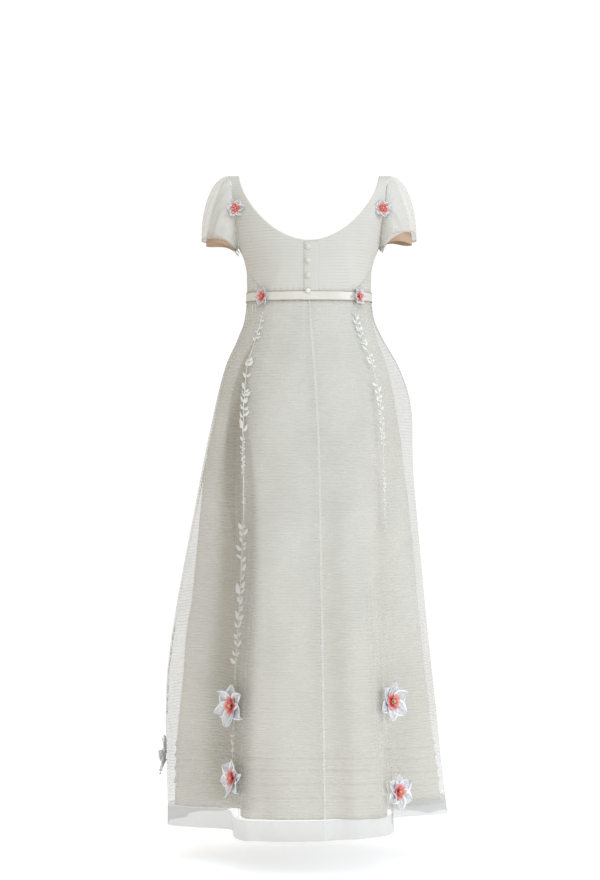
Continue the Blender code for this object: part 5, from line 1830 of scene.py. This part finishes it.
# %% A whole flower
def flower(node):
    """A whole flower in place of its two solids."""
    foot, normal, reach = place_of(node + "_petals")
    if node in SETTLED:
        foot = settled(foot, *SETTLED[node])
    draw = np.random.default_rng(sum(map(ord, node)))
    start = draw.uniform(0, math.pi / 3)
    parts, threads = [], []
    for index in range(6):
        turn = start + math.pi / 3 * index + draw.uniform(-0.07, 0.07)
        lift = reach * (0.020 if index % 2 else 0.050)
        length = reach * draw.uniform(0.94, 1.02)
        rise = reach * draw.uniform(0.10, 0.22)
        seed = float(draw.uniform(0, 6))
        points, faces, grain = petal(foot + normal * (0.0004 + lift), normal, turn, length, reach * 0.80,
                                     rise, reach * 0.10, seed, reach * 0.05)
        parts.append((points, faces))
        threads.append(grain)
    points, faces = joined(parts)
    white = add_mesh(node + "_petals_cloth", points.tolist(), faces, np.concatenate(threads), WHITE_PETAL)
    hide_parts(node + "_petals")

    inner = reach * (0.42 if reach > 0.03 else 0.60)
    parts, threads = [], []
    for ring, (count, size, rise) in enumerate(((5, 1.0, 0.16), (5, 0.52, 0.34))):
        for index in range(count):
            turn = start + 0.3 + ring * 0.63 + 2 * math.pi * index / count + draw.uniform(-0.06, 0.06)
            lift = reach * (0.09 + 0.04 * ring) + inner * (0.05 if index % 2 else 0.0)
            seed = float(draw.uniform(0, 6))
            points, faces, grain = petal(foot + normal * (lift + 0.001), normal, turn, inner * size,
                                         inner * size * 1.02, inner * rise, -inner * 0.16, seed,
                                         inner * 0.04, blunt=True)
            parts.append((points, faces))
            threads.append(grain)
    points, faces = joined(parts)
    coral = add_mesh(node + "_coral", points.tolist(), faces, np.concatenate(threads), CORAL_PETAL)
    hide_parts(node + "_centre")

    size = max(0.0016, reach * 0.055)
    profile = [(0.0, size)] + [(size * math.sin(turn), size * math.cos(turn))
                               for turn in np.linspace(0.35, math.pi * 0.86, 7)]
    level, up = level_and_up(normal)
    height = reach * 0.20 + 0.0010
    beads = [turned(profile, foot + normal * height, normal, 12)]
    small = [(radius * 0.55, rise * 0.55) for radius, rise in profile]
    for index in range(5):
        turn = start + 2 * math.pi * index / 5
        aside = level * math.cos(turn) + up * math.sin(turn)
        spot = foot + normal * (height - 0.0004) + aside * size * 1.5
        beads.append(turned(small, spot, normal, 8))
    points, faces = joined(beads)
    gold = add_mesh(node + "_beads", points.tolist(), faces, finish=GOLD_BEAD)


# %% The ten flowers
FLOWERS = ["shoulder_flower_left", "shoulder_flower_right", "belt_flower_left", "belt_flower_right"]
FLOWERS += ["hem_flower_%d" % number for number in range(1, 7)]
for node in FLOWERS:
    flower(node)
print("flowers:", len(FLOWERS))

# %% [markdown]
# ## Buttons
#
# Three domed buttons covered in the gown's own cloth close the back, and a pearl button
# sits where the ribbon ends meet.

# %% Buttons and the pearl
def button_profile(reach):
    """A low dome with a rolled edge."""
    return [(0.0, reach * 0.62), (reach * 0.30, reach * 0.60), (reach * 0.58, reach * 0.52),
            (reach * 0.80, reach * 0.38), (reach * 0.95, reach * 0.20), (reach, reach * 0.08),
            (reach * 0.94, 0.0)]


def pearl_profile(reach):
    """A pearl, flattened where it is sewn on."""
    turns = np.linspace(0.0, 2.3, 10)
    return [(reach * math.sin(turn), reach * 0.62 * (1 + math.cos(turn)) - reach * 0.2) for turn in turns]


for number in (1, 2, 3):
    node = "button_%d" % number
    add_turned(node + "_covered", node, button_profile, COVERED, 30, 15, 0.012)
add_turned("pearl_button_bead", "pearl_button", pearl_profile, PEARL, 24)

# %% [markdown]
# ## Floor, light and camera
#
# A pale floor fades into a white surround, as in a studio sweep.  Most of the light is a
# warm glow from all round, which keeps sheer cloth soft.  A cool soft lamp above the back
# lights the shoulders, and a stronger one at the gown's right rakes across the ripples and
# leaves the left flank in a warm half shade.

# %% The floor
FLOOR = -1.437
bpy.ops.mesh.primitive_circle_add(vertices=128, radius=9.0, fill_type="NGON", location=(0, 0, FLOOR))
floor = bpy.context.object
floor.name = "floor"
floor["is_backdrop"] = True
bench = Bench("pale_floor", Roughness=0.8, Specular_IOR_Level=0.2, Emission_Strength=1.0,
              Emission_Color=(0.50, 0.50, 0.50, 1.0))
spot_x, spot_y = bench.parts(bench.place())
reach = (spot_x * spot_x + spot_y * spot_y) ** 0.5
mottle = bench.noise(bench.place(), 3.0, 2.0)
bench.feed(Base_Color=bench.blend(mottle, (0.84, 0.89, 0.97), (0.86, 0.91, 0.99)))
bench.feed(Alpha=reach.between(0.6, 3.2, 1.0, 0.0))
floor.data.materials.append(bench.finish)

# %% The surround
GLOW_COLOUR, GLOW_STRENGTH = (1.0, 0.923, 0.811, 1.0), 0.715
WHITE, WHITE_STRENGTH = (1.0, 1.0, 1.0, 1.0), 1.05
world = bpy.data.worlds.new("surround")
scene.world = world
world.use_nodes = True
air = Board(world.node_tree)
background = world.node_tree.nodes["Background"]
background.inputs["Color"].default_value = GLOW_COLOUR
background.inputs["Strength"].default_value = GLOW_STRENGTH
glow = Thread(air, background.outputs[0])
seen = air.node("ShaderNodeBackground", {}, {"Color": WHITE, "Strength": WHITE_STRENGTH})
ray = air.node("ShaderNodeLightPath", output="Is Camera Ray")
mixed = air.node("ShaderNodeMixShader", {}, {0: ray, 1: glow, 2: seen})
world.node_tree.links.new(mixed.socket, world.node_tree.nodes["World Output"].inputs["Surface"])


# %% The lamps
def lamp(name, place, aim, size, power, colour):
    """A square soft lamp aimed at a point."""
    light = bpy.data.lights.new(name, "AREA")
    light.shape = "SQUARE"
    light.size = size
    light.energy = power
    light.color = colour
    made = bpy.data.objects.new(name, light)
    made.location = place
    made.rotation_euler = (Vector(aim) - Vector(place)).to_track_quat("-Z", "Y").to_euler()
    scene.collection.objects.link(made)


lamp("top", (-0.3, 2.2, 2.4), (0, 0, -0.4), 2.0, 50.0, (0.64, 0.80, 1.0))
lamp("side", (-4.2, 2.9, 0.8), (0, 0, -0.6), 1.8, 88.0, (0.845, 0.91, 1.0))

# %% The camera
camera = bpy.data.objects.new("camera", bpy.data.cameras.new("camera"))
camera.location = (0.019, 5.0, -0.554)
camera.rotation_euler = (math.radians(90), 0.0, math.radians(180))
camera.data.lens = 97.4
camera.data.sensor_width = 36.0
scene.collection.objects.link(camera)
scene.camera = camera
scene.view_settings.view_transform = "Standard"
print("floor at", FLOOR, "camera at", tuple(camera.location))

# %% Sizes, and the end
triangles = 0
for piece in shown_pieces():
    evaluated = piece.evaluated_get(bpy.context.evaluated_depsgraph_get())
    mesh = evaluated.to_mesh()
    mesh.calc_loop_triangles()
    triangles += len(mesh.loop_triangles)
    evaluated.to_mesh_clear()
print("triangles in all:", triangles)


def plain(box):
    """A box as plain lists of numbers."""
    return [[float(value) for value in corner] for corner in box]


{"cad": plain(cad_box), "visual": plain(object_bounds())}
